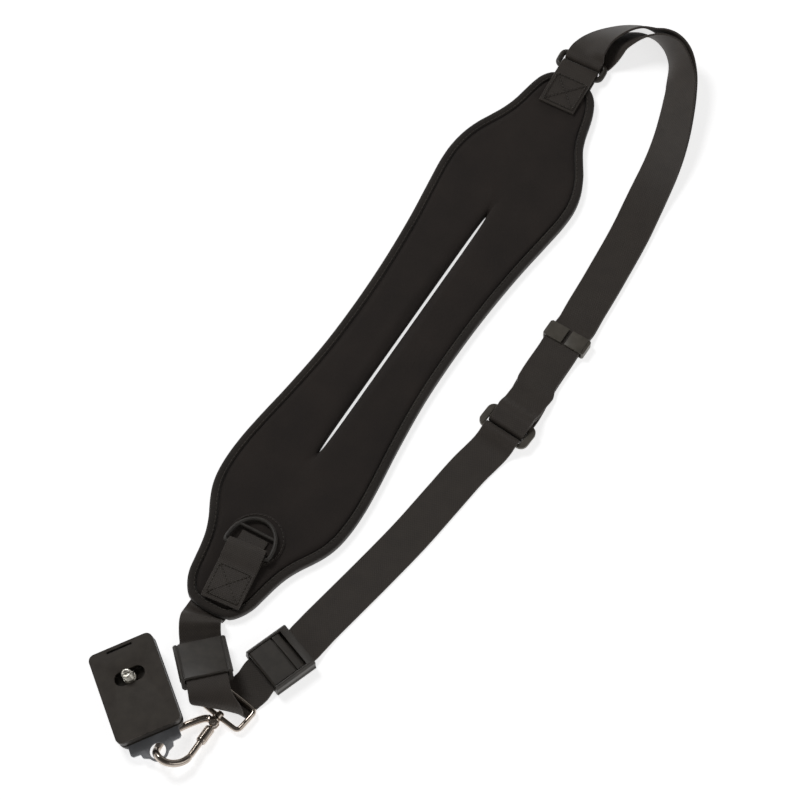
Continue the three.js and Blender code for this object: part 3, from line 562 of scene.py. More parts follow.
# Half width of the pad at distances from its middle, and how far its middle line bows to the left
PAD_OUTLINE = table(
    "along half bow",
    (-222, 9, 0),
    (-219.5, 15, 0),
    (-214, 19.5, 0),
    (-207, 22.8, 0),
    (-198, 24.7, 0),
    (-189, 26.4, 0),
    (-180, 28.8, 0),
    (-171, 32.7, 0),
    (-162, 37.8, 0),
    (-153, 42, 0),
    (-144, 44.4, 0),
    (-132, 45.6, 0),
    (-117, 45.4, 0),
    (-99, 43.7, 0),
    (-72, 40.3, 0),
    (-36, 37, 0),
    (0, 36.2, 0),
    (36, 37.3, 0),
    (72, 40.2, 0),
    (99, 43.6, 0),
    (117, 45.7, 0),
    (130, 45.8, 0),
    (142, 43.7, 0.3),
    (153, 39.6, 0.8),
    (162, 34.7, 1.4),
    (171, 30, 2),
    (180, 26.8, 2.3),
    (189, 24.8, 2.6),
    (198, 22.6, 3.1),
    (205, 19.8, 3.6),
    (210.5, 15.2, 4),
    (213.5, 9, 4.2),
)
EDGE_STEPS = 320


def pad_edge():
    """The pad's outline at even distances, once round."""
    right = [(row["along"], row["bow"] - row["half"], 0) for row in PAD_OUTLINE]
    left = [(row["along"], row["bow"] + row["half"], 0) for row in reversed(PAD_OUTLINE)]
    return even_points(right + left, EDGE_STEPS, closed=True)


def inset(edge, distance):
    """The pad's edge moved inwards."""
    moved = []
    for n in range(EDGE_STEPS + 1):
        along = (edge[(n + 1) % EDGE_STEPS] - edge[(n - 1) % EDGE_STEPS]).normalized()
        moved.append(edge[n] + Vector((-along.y, along.x, 0)) * distance)
    return moved


EDGE = pad_edge()
PAD_FRAME = frame_of(**PAD)


def slit_point(point):
    """The point on the slit's edge that faces a point of the pad's edge."""
    half = SLIT_LONG / 2
    squeezed = max(-half, min(half, point.x * half / SLIT_FACES))
    side = 1 if point.y > 0 else -1
    room = max(0.0, 1 - (squeezed / half) ** 8) ** 0.5
    return Vector((squeezed, side * SLIT_WIDE / 2 * room, 0))


PANEL_RINGS = 26
PANEL_TUCK = 0.2               # how far the panel's edge runs under the binding
SEAM_PULL = 1.7                # how much lower the panel lies at that seam
PANEL_RISE = 1.6               # its rise from the seam, of which a part is lost again at the slit
RISE_LONG = 5
CROWN = 0.33                   # extra height between the seam and the slit
SLIT_CROWN = 0.12              # what is left of it at the slit
LIP_LONG = 7                   # the panel rounds down into the slit from this far
SEWN_RECESS = 2.3              # hollow under the pad's two ends for the webbing sewn there
TOP_SEWN_AT = -23              # middle of the webbing sewn there, from the top loop
LOWER_SEWN_AT = -203           # and at the other end, from the pad's middle
HOLLOWS = [
    PAD_FRAME.inverted() @ floor_frame(TOP_LOOP) @ Matrix.Translation((TOP_SEWN_AT, 0, 0)),
    Matrix.Translation((LOWER_SEWN_AT, 0, 0)),
]
HOLLOW_LONG = (27, 29)         # half lengths of the two
HOLLOW_WIDE = 13.4             # half width of both


def underside(point):
    """The height of the pad's underside: raised over the webbing that is sewn under its ends."""
    for hollow, reach in zip(HOLLOWS, HOLLOW_LONG):
        local = hollow.inverted() @ Vector((point.x, point.y, 0))
        if abs(local.x) < reach and abs(local.y) < HOLLOW_WIDE:
            return SEWN_RECESS
    return 0


def panel_height(share, from_seam, to_slit):
    """The height of the panel's face at a share of the way from its seam to the slit."""
    rise = math.sin(min(1.0, from_seam / RISE_LONG) * math.pi / 2) ** 0.8
    kept = 0.55 + 0.45 * min(1.0, (1 - share) * 6)
    crown = CROWN * math.sin(math.pi * share * 1.1) ** 0.7 if share < 0.9 else SLIT_CROWN
    lip = 0.4 + 0.6 * math.sin(min(1.0, to_slit / LIP_LONG) * math.pi / 2)
    return (PAD_THICK - SEAM_PULL + PANEL_RISE * rise * kept + crown) * lip


def pad_panel():
    """The padded panel: rings of points from the seam at the binding in to the slit, over and under."""
    outer = inset(EDGE, BINDING_WIDE - PANEL_TUCK)
    slit = [slit_point(p) for p in outer]
    rows = 2 * PANEL_RINGS + 2

    def place(column, row):
        n, turn = column % EDGE_STEPS, row % rows
        over = turn <= PANEL_RINGS
        ring = turn if over else rows - 1 - turn
        share = (ring / PANEL_RINGS) ** 1.4
        point = outer[n].lerp(slit[n], share)
        if over:
            level = panel_height(share, (point - outer[n]).length, (slit[n] - point).length)
        else:
            level = underside(point)
        return Vector((point.x, point.y, level))

    return wrapped_grid("pad_panel", EDGE_STEPS, rows, place, smooth_angle=60)


BINDING_SEAM = Sizes(inside=4.3, up=5.6)
# The tape's profile: how far in from the pad's edge, and how high
BINDING_PROFILE = [
    (0, 0.6), (0, 4.6), (0.35, 5.5), (1.2, 6), (2.6, 6.1), (4.1, 5.75),
    (5.1, 5), (5.5, 4.1), (5.5, 0.5), (5, 0), (0.6, 0),
]


def pad_binding():
    """The bound edge: a folded tape, round over its outer side and pulled down along its inner seam."""
    rings = [(inset(EDGE, inward), level) for inward, level in BINDING_PROFILE]

    def place(column, row):
        ring, level = rings[column % len(rings)]
        point = ring[row % EDGE_STEPS]
        return Vector((point.x, point.y, max(level, underside(point))))

    return wrapped_grid("pad_binding_tape", len(BINDING_PROFILE), EDGE_STEPS, place, smooth_angle=60)


# One lock stitch: shares of its pitch, and how high the thread's middle lies over the cloth
STITCH = table("share level", (0, -0.9), (0.18, 0.12), (0.4, 0.24), (0.6, 0.24), (0.82, 0.12))


def stitches(name, line, pitch=3.0, radius=0.28, closed=False):
    """A row of stitches along points on cloth that faces up: one thread that dives in at each hole."""
    count = max(1, round(lengths_along(line)[-1] / pitch))
    shares = [(n + step["share"]) / count for n in range(count) for step in STITCH] + [1]
    levels = [step["level"] for step in STITCH] * count + [STITCH[0]["level"]]
    thread = [place + UP * level for place, level in zip(points_at(line, shares), levels)]
    return tube(name, thread, radius, closed=closed, sides=6, even=False, smooth_angle=60)


def binding_seam():
    """The stitched line on top of the binding, near its inner edge."""
    return [Vector((p.x, p.y, BINDING_SEAM.up)) for p in inset(EDGE, BINDING_SEAM.inside)]


panel = settle(pad_panel(), PAD_CLOTH, "strap", PAD_FRAME, ["pad"])
settle(pad_binding(), BINDING_CLOTH, "strap", PAD_FRAME, ["pad_binding"])
binding_thread = stitches("pad_binding_stitches", binding_seam(), closed=True)
settle(binding_thread, THREAD, "strap", PAD_FRAME)


# Webbing

SECTION_STEPS = 12             # points across each face of the webbing
SELVEDGE = 0.35                # width of the rounding along its edges


def webbing_section(wide, thick):
    """Points round the webbing, across and up: over its face, round its selvedge and back."""
    half = wide / 2
    points = []
    for side in (1, -1):
        for step in range(SECTION_STEPS + 1):
            across = side * (-half + SELVEDGE + (wide - 2 * SELVEDGE) * step / SECTION_STEPS)
            points.append((across, side * thick / 2))
        points.append((side * half, 0))
    return points


def band(name, stations, wide=WEBBING_WIDE, thick=PLY, per_span=10):
    """A flat band through stations, each with a middle and the direction across the band."""
    curve = centripetal([middle for middle, across in stations])
    turns = centripetal([across for middle, across in stations])
    spans = len(stations) - 1
    rows = spans * per_span
    section = webbing_section(wide, thick)
    middles = [curve(row / per_span) for row in range(rows + 1)]
    lengths = lengths_along(middles)
    sides = []
    faces = []
    for row in range(rows + 1):
        at = row / per_span
        along = (curve(min(at + 0.02, spans)) - curve(max(at - 0.02, 0))).normalized()
        across = turns(at).normalized()
        face = along.cross(across)
        sides.append(across / max(face.length, 0.7))
        faces.append(face.normalized())

    def place(column, row):
        across, up = section[column % len(section)]
        return middles[row] + sides[row] * across + faces[row] * up

    def weave(column, row):
        return (section[column % len(section)][0], lengths[row], 0)

    return wrapped_grid(name, len(section), rows, place, weave, smooth_angle=50)


def stations_at(fitting, rows):
    """Stations in a fitting's own frame, laid straight across its heading."""
    place = floor_frame(fitting)
    across = direction(fitting["heading"] - 90)
    return [(place @ Vector((row["along"], 0, row["up"])), across.copy()) for row in rows]


def round_bar(fitting, along, radius, from_angle, to_angle, fullness=1):
    """Stations round a fitting's bar; a fullness over 1 lets the fold bulge along the strap."""
    rows = []
    for step in range(BAR_STEPS + 1):
        angle = math.radians(from_angle + (to_angle - from_angle) * step / BAR_STEPS)
        reach = fullness * radius * math.cos(angle)
        rows.append(dict(along=along + reach, up=fitting["z"] + radius * math.sin(angle)))
    return stations_at(fitting, rows)


def rolled_stations(rows):
    """Stations across the way that the rows lead, each rolled about it."""
    stations = []
    for n, row in enumerate(rows):
        before, after = rows[max(n - 1, 0)], rows[min(n + 1, len(rows) - 1)]
        right = Vector((after["x"] - before["x"], after["y"] - before["y"], 0)).normalized().cross(UP)
        roll = math.radians(row["roll"])
        middle = Vector((row["x"], row["y"], row["z"]))
        stations.append((middle, right * math.cos(roll) + UP * math.sin(roll)))
    return stations


def headed_stations(rows):
    """Level stations, each with the heading of its own across."""
    return [(Vector((row["x"], row["y"], row["z"])), direction(row["across"])) for row in rows]


def next_layer(stations, distance=NEXT_PLY):
    """The same stations moved out by one ply."""
    moved = []
    for n, (middle, across) in enumerate(stations):
        before, after = stations[max(n - 1, 0)][0], stations[min(n + 1, len(stations) - 1)][0]
        face = (after - before).normalized().cross(across).normalized()
        moved.append((middle + face * distance, across.copy()))
    return moved


HEM_END = table("along up", (22, 2.6), (15, 3.3), (10, 6.7))
SEWN_END = table("along up", (7.2, 7.25), (4.6, 6.2), (2.6, 3.6))
OVER_SLIDER = table("along up", (3.4, 8.1), (7.2, 9.15))
STRAND_OUT = table("along up", (11, 8.5), (17, 5.1), (24, 4.2), (30, 2.8))
STRAND_ROWS = table(
    "x y z across",
    (85.2, 11.7, 0.85, -31.5),
    (97, 30.7, 1, -32),
    (100.3, 35.7, 2.3, -32.5),
    (107.1, 45.7, 2.3, -32.7),
    (110.3, 50.7, 1, -32.5),
    (115.9, 61.3, 0.75, -30),
    (125.3, 78.1, 0.75, -28.8),
    (132.8, 92.1, 0.75, -27.8),
    (140.2, 106, 0.75, -27),
)
OUTER_LOOP = table(
    "x y z roll",
    (124, 251.4, 8.2, 18),
    (131, 258.5, 9.2, 34),
    (140, 263.1, 9.7, 44),
    (150.3, 265.8, 10.6, 52),
    (159.9, 265.4, 11.3, 57),
    (168.3, 260.6, 12.4, 66),
    (173.6, 256.6, 13.2, 79),
    (178, 251.2, 13.4, 94),
    (181, 245, 12.9, 107),
    (182.5, 237.9, 11.7, 120),
    (182.5, 224.8, 9.8, 134),
    (180.8, 212, 8.7, 141),
    (178.2, 199.2, 7.5, 147),
    (175, 186.3, 6.6, 153),
    (170.9, 173.4, 5.2, 160),
    (165.8, 160.5, 3.8, 167),
    (159.8, 147.5, 2.3, 174),
    (153.4, 133.7, 1.15, 179),
    (146.8, 119.2, 0.75, 180),
)
INNER_LOOP = table(
    "x y z roll",
    (124.8, 247, 0.9, 0),
    (129.6, 249.2, 1.25, 1.5),
    (134, 251.6, 3.2, 11),
    (138.2, 254, 5.6, 23),
    (143.2, 256.6, 7.9, 34),
    (150.4, 258.6, 9.6, 43),
    (157.6, 259.4, 10.6, 51),
    (164.6, 257.6, 11.6, 62),
    (170.4, 253.8, 12.8, 77),
    (175.2, 248.8, 13.2, 93),
    (178.6, 242.6, 13, 108),
)
INNER_LOOP_JOINS = 10
SLIDER_PASS = table(
    "along up",
    (14, 0.8),
    (5, 0.8),
    (-0.5, 0.9),
    (-3, 1.7),
    (-4.3, 4),
    (-5.2, 6.6),
    (-7.2, 7.3),
    (-9.8, 6.3),
)
LONG_RUN = table(
    "x y z across",
    (57.8, -31, 3.3, -37.5),
    (54.4, -34.6, 1.3, -39),
    (49.6, -39.6, 0.75, -40),
    (42, -47.7, 0.75, -40.5),
    (24.8, -68.9, 0.75, -39),
    (6.2, -91.8, 0.75, -39.5),
    (-14.6, -115.2, 0.75, -42),
    (-33.8, -136.1, 0.8, -44),
    (-47.5, -151, 0.9, -47.5),
    (-53.8, -158.6, 1.7, -51),
)
RING_FOLD = table(
    "x y z across",
    (-87.4, -190, 1.4, -51),
    (-92.6, -194.8, 0.9, -48),
    (-97, -198.9, 0.85, -43),
    (-100.3, -201.9, 1.8, -37),
    (-102.9, -204.3, 5.1, -24),
    (-105.1, -206.8, 9.5, -12),
    (-107.9, -206, 14.2, -3),
    (-110.9, -200.8, 17.2, 6),
)
LOWER_BOW = table(
    "x y z across",
    (-118.4, -162.6, 5, 9),
    (-118.8, -157, 6.6, 6),
    (-118.7, -151.9, 9.1, -2),
    (-118.2, -148.5, 8.2, -10),
    (-117.5, -145.9, 4.4, -18),
    (-116.3, -143, 1.1, -26),
    (-114, -139.3, 0.75, -31),
    (-108, -129.8, 0.75, -32.1),
    (-99, -115.4, 0.75, -32.1),
)
STRAP_IN_STOPPER = 3.1         # height of the strap's middle over the stopper's back
STOPPER_STEPS = (-14.2, -5, 5, 14.2)
BAR_STEPS = 6
SLIDER_BAR = 1.2               # radius
STRAND_HEADING = 56            # the double strand leaves the slider at a slight turn
WRAP = GAP + ON_TABLE          # from a bar's surface to the middle of the webbing round it
LOOP_BAR = Sizes(pitch=10.6, thick=3.8, wide=34, corner=3)
LOOP_FULLNESS = 1.45          # both folds in the loop bulge until they nearly meet


def stopper_stations(stopper):
    """Stations straight through a stopper's strap way."""
    place = frame_of(**stopper)
    across = place.to_3x3() @ Vector((0, 1, 0))
    return [(place @ Vector((along, 0, STRAP_IN_STOPPER)), across.copy()) for along in STOPPER_STEPS]


def webbing_route():
    """The one long strap, from its hem at the slider to its end under the pad."""
    strand = headed_stations(STRAND_ROWS)
    outer = rolled_stations(OUTER_LOOP)
    inner = rolled_stations(INNER_LOOP)
    back_down = strand[::-1]
    upper = next_layer(outer[INNER_LOOP_JOINS:] + back_down)[::-1]
    leaving = dict(SLIDER, heading=STRAND_HEADING)
    route = stations_at(leaving, HEM_END) + stations_at(SLIDER, SEWN_END)
    route += round_bar(SLIDER, 0, SLIDER_BAR + WRAP, -90, -270)
    route += stations_at(SLIDER, OVER_SLIDER) + stations_at(leaving, STRAND_OUT)
    route += upper + inner[::-1]
    route += round_bar(TOP_LOOP, LOOP_BAR.pitch / 2, LOOP_BAR.thick / 2 + WRAP, -90, -270, LOOP_FULLNESS)
    route += outer + back_down
    route += stations_at(SLIDER, SLIDER_PASS)
    route += headed_stations(LONG_RUN)
    route += stopper_stations(STOPPER_A)
    route += headed_stations(RING_FOLD)
    route += stopper_stations(STOPPER_B)
    route += headed_stations(LOWER_BOW)
    return route


settle(band("strap_webbing", webbing_route()), WEBBING_CLOTH, "strap", stands_for=["webbing"])


# Short webbing tabs

TOP_TAB_LEVEL = 7.1            # middle of its upper ply, over the pad's binding
BOX_REACH = 10.3               # half width of the stitched box on each tab
D_RING_SIZE = Sizes(half=14.9, side=4, tall=22.4, thick=2.6, crossbar=13.9, bar=1.1, tilt=3.5)


def top_tab():
    bar, reach = TOP_TAB_LEVEL, LOOP_BAR.thick / 2 + WRAP
    above = stations_at(TOP_LOOP, table("along up", (-37.5, bar), (-24, bar), (-11, bar)))
    under = ON_TABLE + 0.1
    below = stations_at(TOP_LOOP, table("along up", (-9, under), (-18, under), (-30, under)))
    fold = round_bar(TOP_LOOP, -LOOP_BAR.pitch / 2, reach, 90, -90, LOOP_FULLNESS)
    return band("top_tab_webbing", above + fold + below)


def lower_tab():
    """A double ply with the D-ring's bar in its fold; its upper ply lies down on the lower one."""
    reach = D_RING_SIZE.thick / 2 + WRAP
    low = LOWER_TAB["z"] - reach
    below = table("along up", (-33, low - 0.6), (-20, low - 0.3), (-6, low))
    above = table(
        "along up",
        (-6, low + 3.4), (-12, low + 1.8), (-20, low + 1.5), (-30, low + 1.2), (-36.5, low + 0.2),
    )
    route = stations_at(LOWER_TAB, below) + round_bar(LOWER_TAB, 1.2, reach, -90, 90)
    return band("lower_tab_webbing", route + stations_at(LOWER_TAB, above))


def box_with_cross(name, fitting, near, far, levels):
    """The box and cross that fasten a tab: runs of stitches between corners of a rectangle on the tab.

    levels are the heights of the tab's face at its near and far end."""
    place = floor_frame(fitting)
    a, b, c, d = [
        place @ Vector((along, across, level))
        for along, across, level in (
            (near, BOX_REACH, levels[0]), (near, -BOX_REACH, levels[0]),
            (far, -BOX_REACH, levels[1]), (far, BOX_REACH, levels[1]))
    ]
    sides = ((a, b), (b, c), (c, d), (d, a), (a, c), (b, d))
    return joined(name, *[stitches(name, side, pitch=2.4, radius=0.26) for side in sides])


def inner_strip():
    """The sewn ply that shows inside the D-ring, under its crossbar."""
    rows = table("along up", (2, 7.3), (6, 7.4), (11.5, 7.3))
    return band("d_ring_strip", stations_at(D_RING, rows), wide=18, thick=0.9)


settle(top_tab(), WEBBING_CLOTH, "strap", stands_for=["top_tab"])
settle(lower_tab(), WEBBING_CLOTH, "strap", stands_for=["lower_tab"])
settle(inner_strip(), WEBBING_CLOTH, "strap")
top_box = box_with_cross("top_tab_stitches", TOP_LOOP, -14.5, -35.5, (8.8, 8.8))
settle(top_box, THREAD, "strap")
lower_box = box_with_cross("lower_tab_stitches", LOWER_TAB, -14, -34, (10.1, 9.4))
settle(lower_box, THREAD, "strap")


# Round turned pieces

def turned(name, profile, start, axis, sides=40, smooth_angle=35):
    """A lathe profile, rows of distance along the axis and radius, spun round the axis."""
    start = Vector(start)
    along = Vector(axis).normalized()
    side = along.orthogonal().normalized()
    other = along.cross(side)

    def place(column, row):
        distance, radius = profile[row]
        angle = 2 * math.pi * column / sides
        return start + along * distance + (side * math.cos(angle) + other * math.sin(angle)) * radius

    return wrapped_grid(name, sides, len(profile) - 1, place, smooth_angle=smooth_angle)


def solid_pin(name, radius, long, start, axis, edge=0.2):
    """A pin with chamfered ends."""
    half = [(0, 0), (0, radius - edge), (edge, radius)]
    profile = half + [(long - distance, reach) for distance, reach in reversed(half)]
    return turned(name, profile, start, axis, sides=32)


def loop_points(long, wide, corner):
    return [Vector((x, y, 0)) for x, y in rounded_outline(long, wide, corner)]


def turn_mesh(piece, matrix):
    """Turns or moves the mesh and leaves its object where it is."""
    piece.data.transform(matrix)
    return piece


# Plastic fittings

KEEPER_SIZE = Sizes(long=11, wide=29.2, tall=6.6, wall=1.3, corner=1.4, split=2.6, split_at=0.2)
SLIDER_SIZE = Sizes(long=17, wide=35, thick=2.4, corner=5, window_long=11.8, window_wide=26.2, bar=28)
CUT_PAST = 2                   # how far a cutting block stands out of what it cuts


def top_loop():
    """A rectangular loop of round section."""
    points = loop_points(LOOP_BAR.pitch, LOOP_BAR.wide - LOOP_BAR.thick, LOOP_BAR.corner)
    return tube("moulded_top_loop", points, LOOP_BAR.thick / 2, closed=True, steps=160, sides=24)


def keeper():
    """A flat ring split over the strands, with its top stepped down at both ends."""
    size = KEEPER_SIZE
    long = size.long + CUT_PAST
    ring = slab("moulded_keeper", rounded_outline(size.long, size.wide, size.corner), 0, size.tall)
    ring = combine(
        ring,
        block("inside", long, size.wide - 2 * size.wall, size.tall - 2 * size.wall, z=size.tall / 2),
        block("split", long, size.split, 2 * size.wall, y=size.split_at, z=size.tall),
        block("low_end", long, 4.2, 2, y=-size.wide / 2, z=size.tall + 0.3),
        block("low_end", long, 2.4, 2, y=size.wide / 2, z=size.tall + 0.4),
    )
    return soften(ring, 0.45, 3)


def slider():
    """A flat frame with a round bar across its window."""
    size = SLIDER_SIZE
    outline = rounded_outline(size.long, size.wide, size.corner, steps=10)
    ring = slab("moulded_slider", outline, -size.thick / 2, size.thick / 2)
    window = rounded_outline(size.window_long, size.window_wide, 0.8)
    ring = soften(combine(ring, slab("window", window, -size.thick, size.thick)), 0.6, 3)
    bar = rod("bar", SLIDER_BAR, (0, -size.bar / 2, 0), (0, size.bar / 2, 0))
    return joined("moulded_slider", ring, bar)


STOPPER = Sizes(wide=32, long=28.4, tall=10, rail=2.9, floor=2, way=3.2, bridge=2.8, line_in=2.8)
CAM_AXLE = Sizes(along=-6.6, up=8.2, radius=0.9, cam=1.5, past=1.3)
# A profile in the plane across the stopper, laid along it
ALONG_X = Matrix(((0, 0, 1, 0), (1, 0, 0, 0), (0, 1, 0, 0), (0, 0, 0, 1)))
# A profile in the plane along the stopper, laid across it
ALONG_Y = Matrix(((1, 0, 0, 0), (0, 0, -1, 0), (0, 1, 0, 0), (0, 0, 0, 1)))


def stopper_body(name):
    """A channel for the strap between two rails, open at its lever's end, with two lines on its back."""
    half = STOPPER.wide / 2
    tall = STOPPER.tall
    floor = STOPPER.floor
    side = [(half - 1.2, 0), (half, 1), (half, 2.6), (half - 0.5, 3.2), (half - 0.5, tall - 1.8)]
    side += [(half - 1.8, tall)]
    outline = side + [(-y, z) for y, z in reversed(side)]
    body = turn_mesh(slab(name, outline, -STOPPER.long / 2, STOPPER.long / 2), ALONG_X)
    inner = STOPPER.wide - 2 * STOPPER.rail
    bridge_edge = CAM_AXLE.along - STOPPER.bridge
    reach = STOPPER.long / 2 - bridge_edge + 1
    way = STOPPER.way
    past = STOPPER.long + 2 * CUT_PAST
    line_at = half - STOPPER.line_in
    body = combine(
        body,
        block("strap_way", past, inner, way, z=floor + way / 2),
        block("pocket", reach, inner, tall, bridge_edge + reach / 2, 0, floor + tall / 2),
        block("back_line", past, 0.8, 1.2, y=line_at),
        block("back_line", past, 0.8, 1.2, y=-line_at),
    )
    return soften(body, 0.4, 3)


def stopper_lever(name):
    """The cam lever: a round cam on its axle, a toe over the strap and a flat panel with a groove."""
    along, up = CAM_AXLE.along, CAM_AXLE.up
    arc = [math.radians(90 + 15 * n) for n in range(13)]
    outline = [(along + CAM_AXLE.cam * math.cos(a), up + CAM_AXLE.cam * math.sin(a)) for a in arc]
    outline += [(-6.1, 4.4), (-3.6, 4.3), (-1.1, 6.4), (0.4, 7.3), (13, 7.3), (14.1, 8), (14.1, 8.9)]
    outline += [(13, 9.7), (-1.8, 9.7), (-1.9, 8.3), (-2.9, 8.3), (-3, 9.7)]
    wide = STOPPER.wide - 2 * STOPPER.rail - 0.6
    panel = turn_mesh(slab(name, outline, -wide / 2, wide / 2), ALONG_Y)
    soften(panel, 0.3, 2, angle=40)
    pin_long = wide + 2 * CAM_AXLE.past
    pin = solid_pin("axle", CAM_AXLE.radius, pin_long, (along, -pin_long / 2, up), (0, 1, 0))
    return joined(name, panel, pin)


settle(top_loop(), ACETAL, "strap", frame_of(**TOP_LOOP), ["top_loop"])
# The keeper and the slider take the acetal painted paler, which stands in for their sheen
settle(keeper(), ACETAL_PAINTED_PALER, "strap", frame_of(**KEEPER), ["keeper"])
settle(slider(), ACETAL_PAINTED_PALER, "strap", frame_of(**SLIDER), ["slider"])
for letter, placing in (("a", STOPPER_A), ("b", STOPPER_B)):
    settle(stopper_body(f"moulded_stopper_{letter}_body"), ACETAL, "strap",
           frame_of(**placing), [f"stopper_{letter}_body"])
    settle(stopper_lever(f"moulded_stopper_{letter}_lever"), ACETAL, f"lever_{letter}",
           frame_of(**placing), [f"stopper_{letter}_lever"])


# D-ring and its round patch

PATCH = Sizes(x=-86.9, y=-97.4, z=5.85, radius=18, thick=0.8, seam=1.2)


def d_ring():
    """A wire D with a round bow, tight corners at its straight bar, and a crossbar inside."""
    size = D_RING_SIZE
    half = size.half
    arc = size.tall - size.side
    points = []
    for step in range(13):
        angle = math.radians(180 - 15 * step)
        points.append(Vector((size.side + arc * math.sin(angle), half * math.cos(angle), 0)))
    corner = [(2.2, half), (0.5, half - 0.5), (0, half - 1.8)]
    points += [Vector((x, y, 0)) for x, y in corner + [(0, 0)] + [(x, -y) for x, y in reversed(corner)]]
    ring = tube("coated_d_ring", points, size.thick / 2, closed=True, steps=180, sides=20)
    reach = half * math.sqrt(1 - ((size.crossbar - size.side) / arc) ** 2)
    bar = rod("crossbar", size.bar, (size.crossbar, -reach, 0), (size.crossbar, reach, 0))
    tilt = Matrix.Rotation(math.radians(size.tilt), 4, "Y")
    return turn_mesh(joined("coated_d_ring", ring, bar), tilt)


def circle_line(radius, level):
    angles = [math.radians(3 * n) for n in range(121)]
    return [Vector((radius * math.cos(a), radius * math.sin(a), level)) for a in angles]


def patch():
    """A round of cloth, pressed down along its stitches near the edge."""
    radius, thick = PATCH.radius, PATCH.thick
    profile = [
        (0, 0), (0, radius - 0.3), (thick * 0.5, radius), (thick, radius - 0.4),
        (thick - 0.12, radius - PATCH.seam), (thick, radius - 2.2), (thick, radius * 0.6), (thick, 0),
    ]
    return turned("round_patch", profile, (0, 0, 0), UP, sides=96, smooth_angle=60)


settle(d_ring(), COATED_METAL, "d_ring", frame_of(**D_RING), ["d_ring"])
patch_frame = frame_of(PATCH.x, PATCH.y, PATCH.z)
settle(patch(), PAD_CLOTH, "strap", patch_frame, ["dring_patch"])
patch_seam = circle_line(PATCH.radius - PATCH.seam, PATCH.thick - 0.1)
patch_thread = stitches("patch_stitches", patch_seam, pitch=2.8, closed=True)
settle(patch_thread, THREAD, "strap", patch_frame)


# Ring, hook, gate and sleeve

RING_SIZE = Sizes(long=29.3, wide=16, wire=3.2, corner=2.6)
HOOK_HEADING = RING["heading"] - 90
HOOK_PATH = table(
    "along across up",
    (4.4, 2.4, 3.9),
    (6.6, 5.2, 4),
    (11.6, 8.2, 4.2),
    (17.5, 11.2, 4.1),
    (23, 13.5, 3.8),
    (29, 14.8, 3.6),
    (34.6, 14.9, 3.7),
    (38.8, 13.8, 4.7),
    (41, 12.4, 7.3),
    (42.4, 10.6, 9.8),
    (43.5, 7.4, 11.2),
    (43.2, 3.6, 10.8),
    (41, 0, 9.4),
    (37.4, -2.8, 7.9),
    (33.8, -4.2, 7.1),
    (30.6, -4.5, 6.7),
)
GATE_HINGE = dict(along=5.9, across=-1.1, up=4)
GATE_TIP = dict(along=30.1, across=-4.4, up=6.6)
GATE_WIRE = 3.9
HOOK_WIRE = 4.5
YOKE = Sizes(long=3.6, wide=8.2, tall=5.6, at=5, low=-2.2, cheek=2.5, cheek_tall=5.4, gap=2.6,
             pin=1, pin_long=5.9)
SLEEVE = Sizes(long=11, outer=3.1, inner=2.25, start=3.1)


def in_hook(row):
    """A point of the hook's path in its own frame, which starts at the ring's bar."""
    return Vector((row["along"], -row["across"], row["up"] - RING["z"]))


def hook_frame():
    """The hook's frame: on the middle of the ring's near bar, headed away from the ring."""
    near_bar = direction(HOOK_HEADING) * (RING_SIZE.wide / 2)
    return frame_of(RING["x"] + near_bar.x, RING["y"] + near_bar.y, RING["z"], HOOK_HEADING)


def ring():
    """A rectangular ring of round wire with the boss that the hook's shank turns in."""
    thick = RING_SIZE.wire
    points = loop_points(RING_SIZE.long, RING_SIZE.wide, RING_SIZE.corner)
    loop = tube("nickel_ring", points, thick / 2, closed=True, steps=150, sides=24)
    profile = [(0, 1.5), (0, 2.2), (0.4, 2.6), (thick - 0.4, 2.6), (thick, 2.2), (thick, 1.5), (0, 1.5)]
    boss = turned("boss", profile, (0, -(RING_SIZE.wide + thick) / 2, 0), (0, 1, 0))
    return joined("nickel_ring", loop, boss)


def hook():
    """The bow with its blunt point, the shank that turns in the ring, and the gate's forked root."""
    hinge = in_hook(GATE_HINGE)

    def taper(share):
        return HOOK_WIRE / 2 - max(0, share - 0.97) * 10

    bow = tube("nickel_hook", [in_hook(row) for row in HOOK_PATH], taper, steps=150, sides=28)
    profile = [(0, 0), (0, 1.2), (0.4, 2.1), (1.0, 2.3), (1.2, 1.3), (5, 1.25), (5, 2.6), (5.2, 2.95)]
    profile += [(5.5, 2.6), (5.6, 2.6), (5.8, 3), (6.3, 3), (6.5, 2.7), (6.6, 0)]
    shank = turned("shank", profile, (-3.1, 0, 0), (1, 0, 0))
    root = soften(block("yoke", YOKE.long, YOKE.wide, YOKE.tall, YOKE.at, -0.4, 0.2), 0.9, 3)
    cheeks = solid_pin("cheeks", YOKE.cheek, YOKE.cheek_tall, (hinge.x, hinge.y, YOKE.low), UP, 0.3)
    fork = block("fork", 9, 6.8, YOKE.gap, 8.1, hinge.y + 1.1, hinge.z)
    yoke = combine(combine(root, cheeks, operation="UNION"), fork)
    pin = solid_pin("pin", YOKE.pin, YOKE.pin_long, (hinge.x, hinge.y, YOKE.low - 0.25), UP, 0.25)
    return joined("nickel_hook", bow, shank, yoke, pin)


def gate():
    """The gate's wire, narrowed towards the eye on its pin."""
    hinge = in_hook(GATE_HINGE)
    reach = in_hook(GATE_TIP) - hinge
    long = reach.length
    radius = GATE_WIRE / 2
    profile = [(1.6, 0), (1.6, 0.9), (2.8, 1.2), (3.4, radius)]
    profile += [(long - 0.4, radius), (long, radius - 0.35), (long, 0)]
    stem = turned("nickel_gate", profile, hinge, reach, sides=32)
    eye_profile = [(-1, 1.3), (-1, 1.8), (-0.8, 2), (0.8, 2), (1, 1.8), (1, 1.3), (-1, 1.3)]
    return joined("nickel_gate", stem, turned("eye", eye_profile, hinge, UP, sides=32))


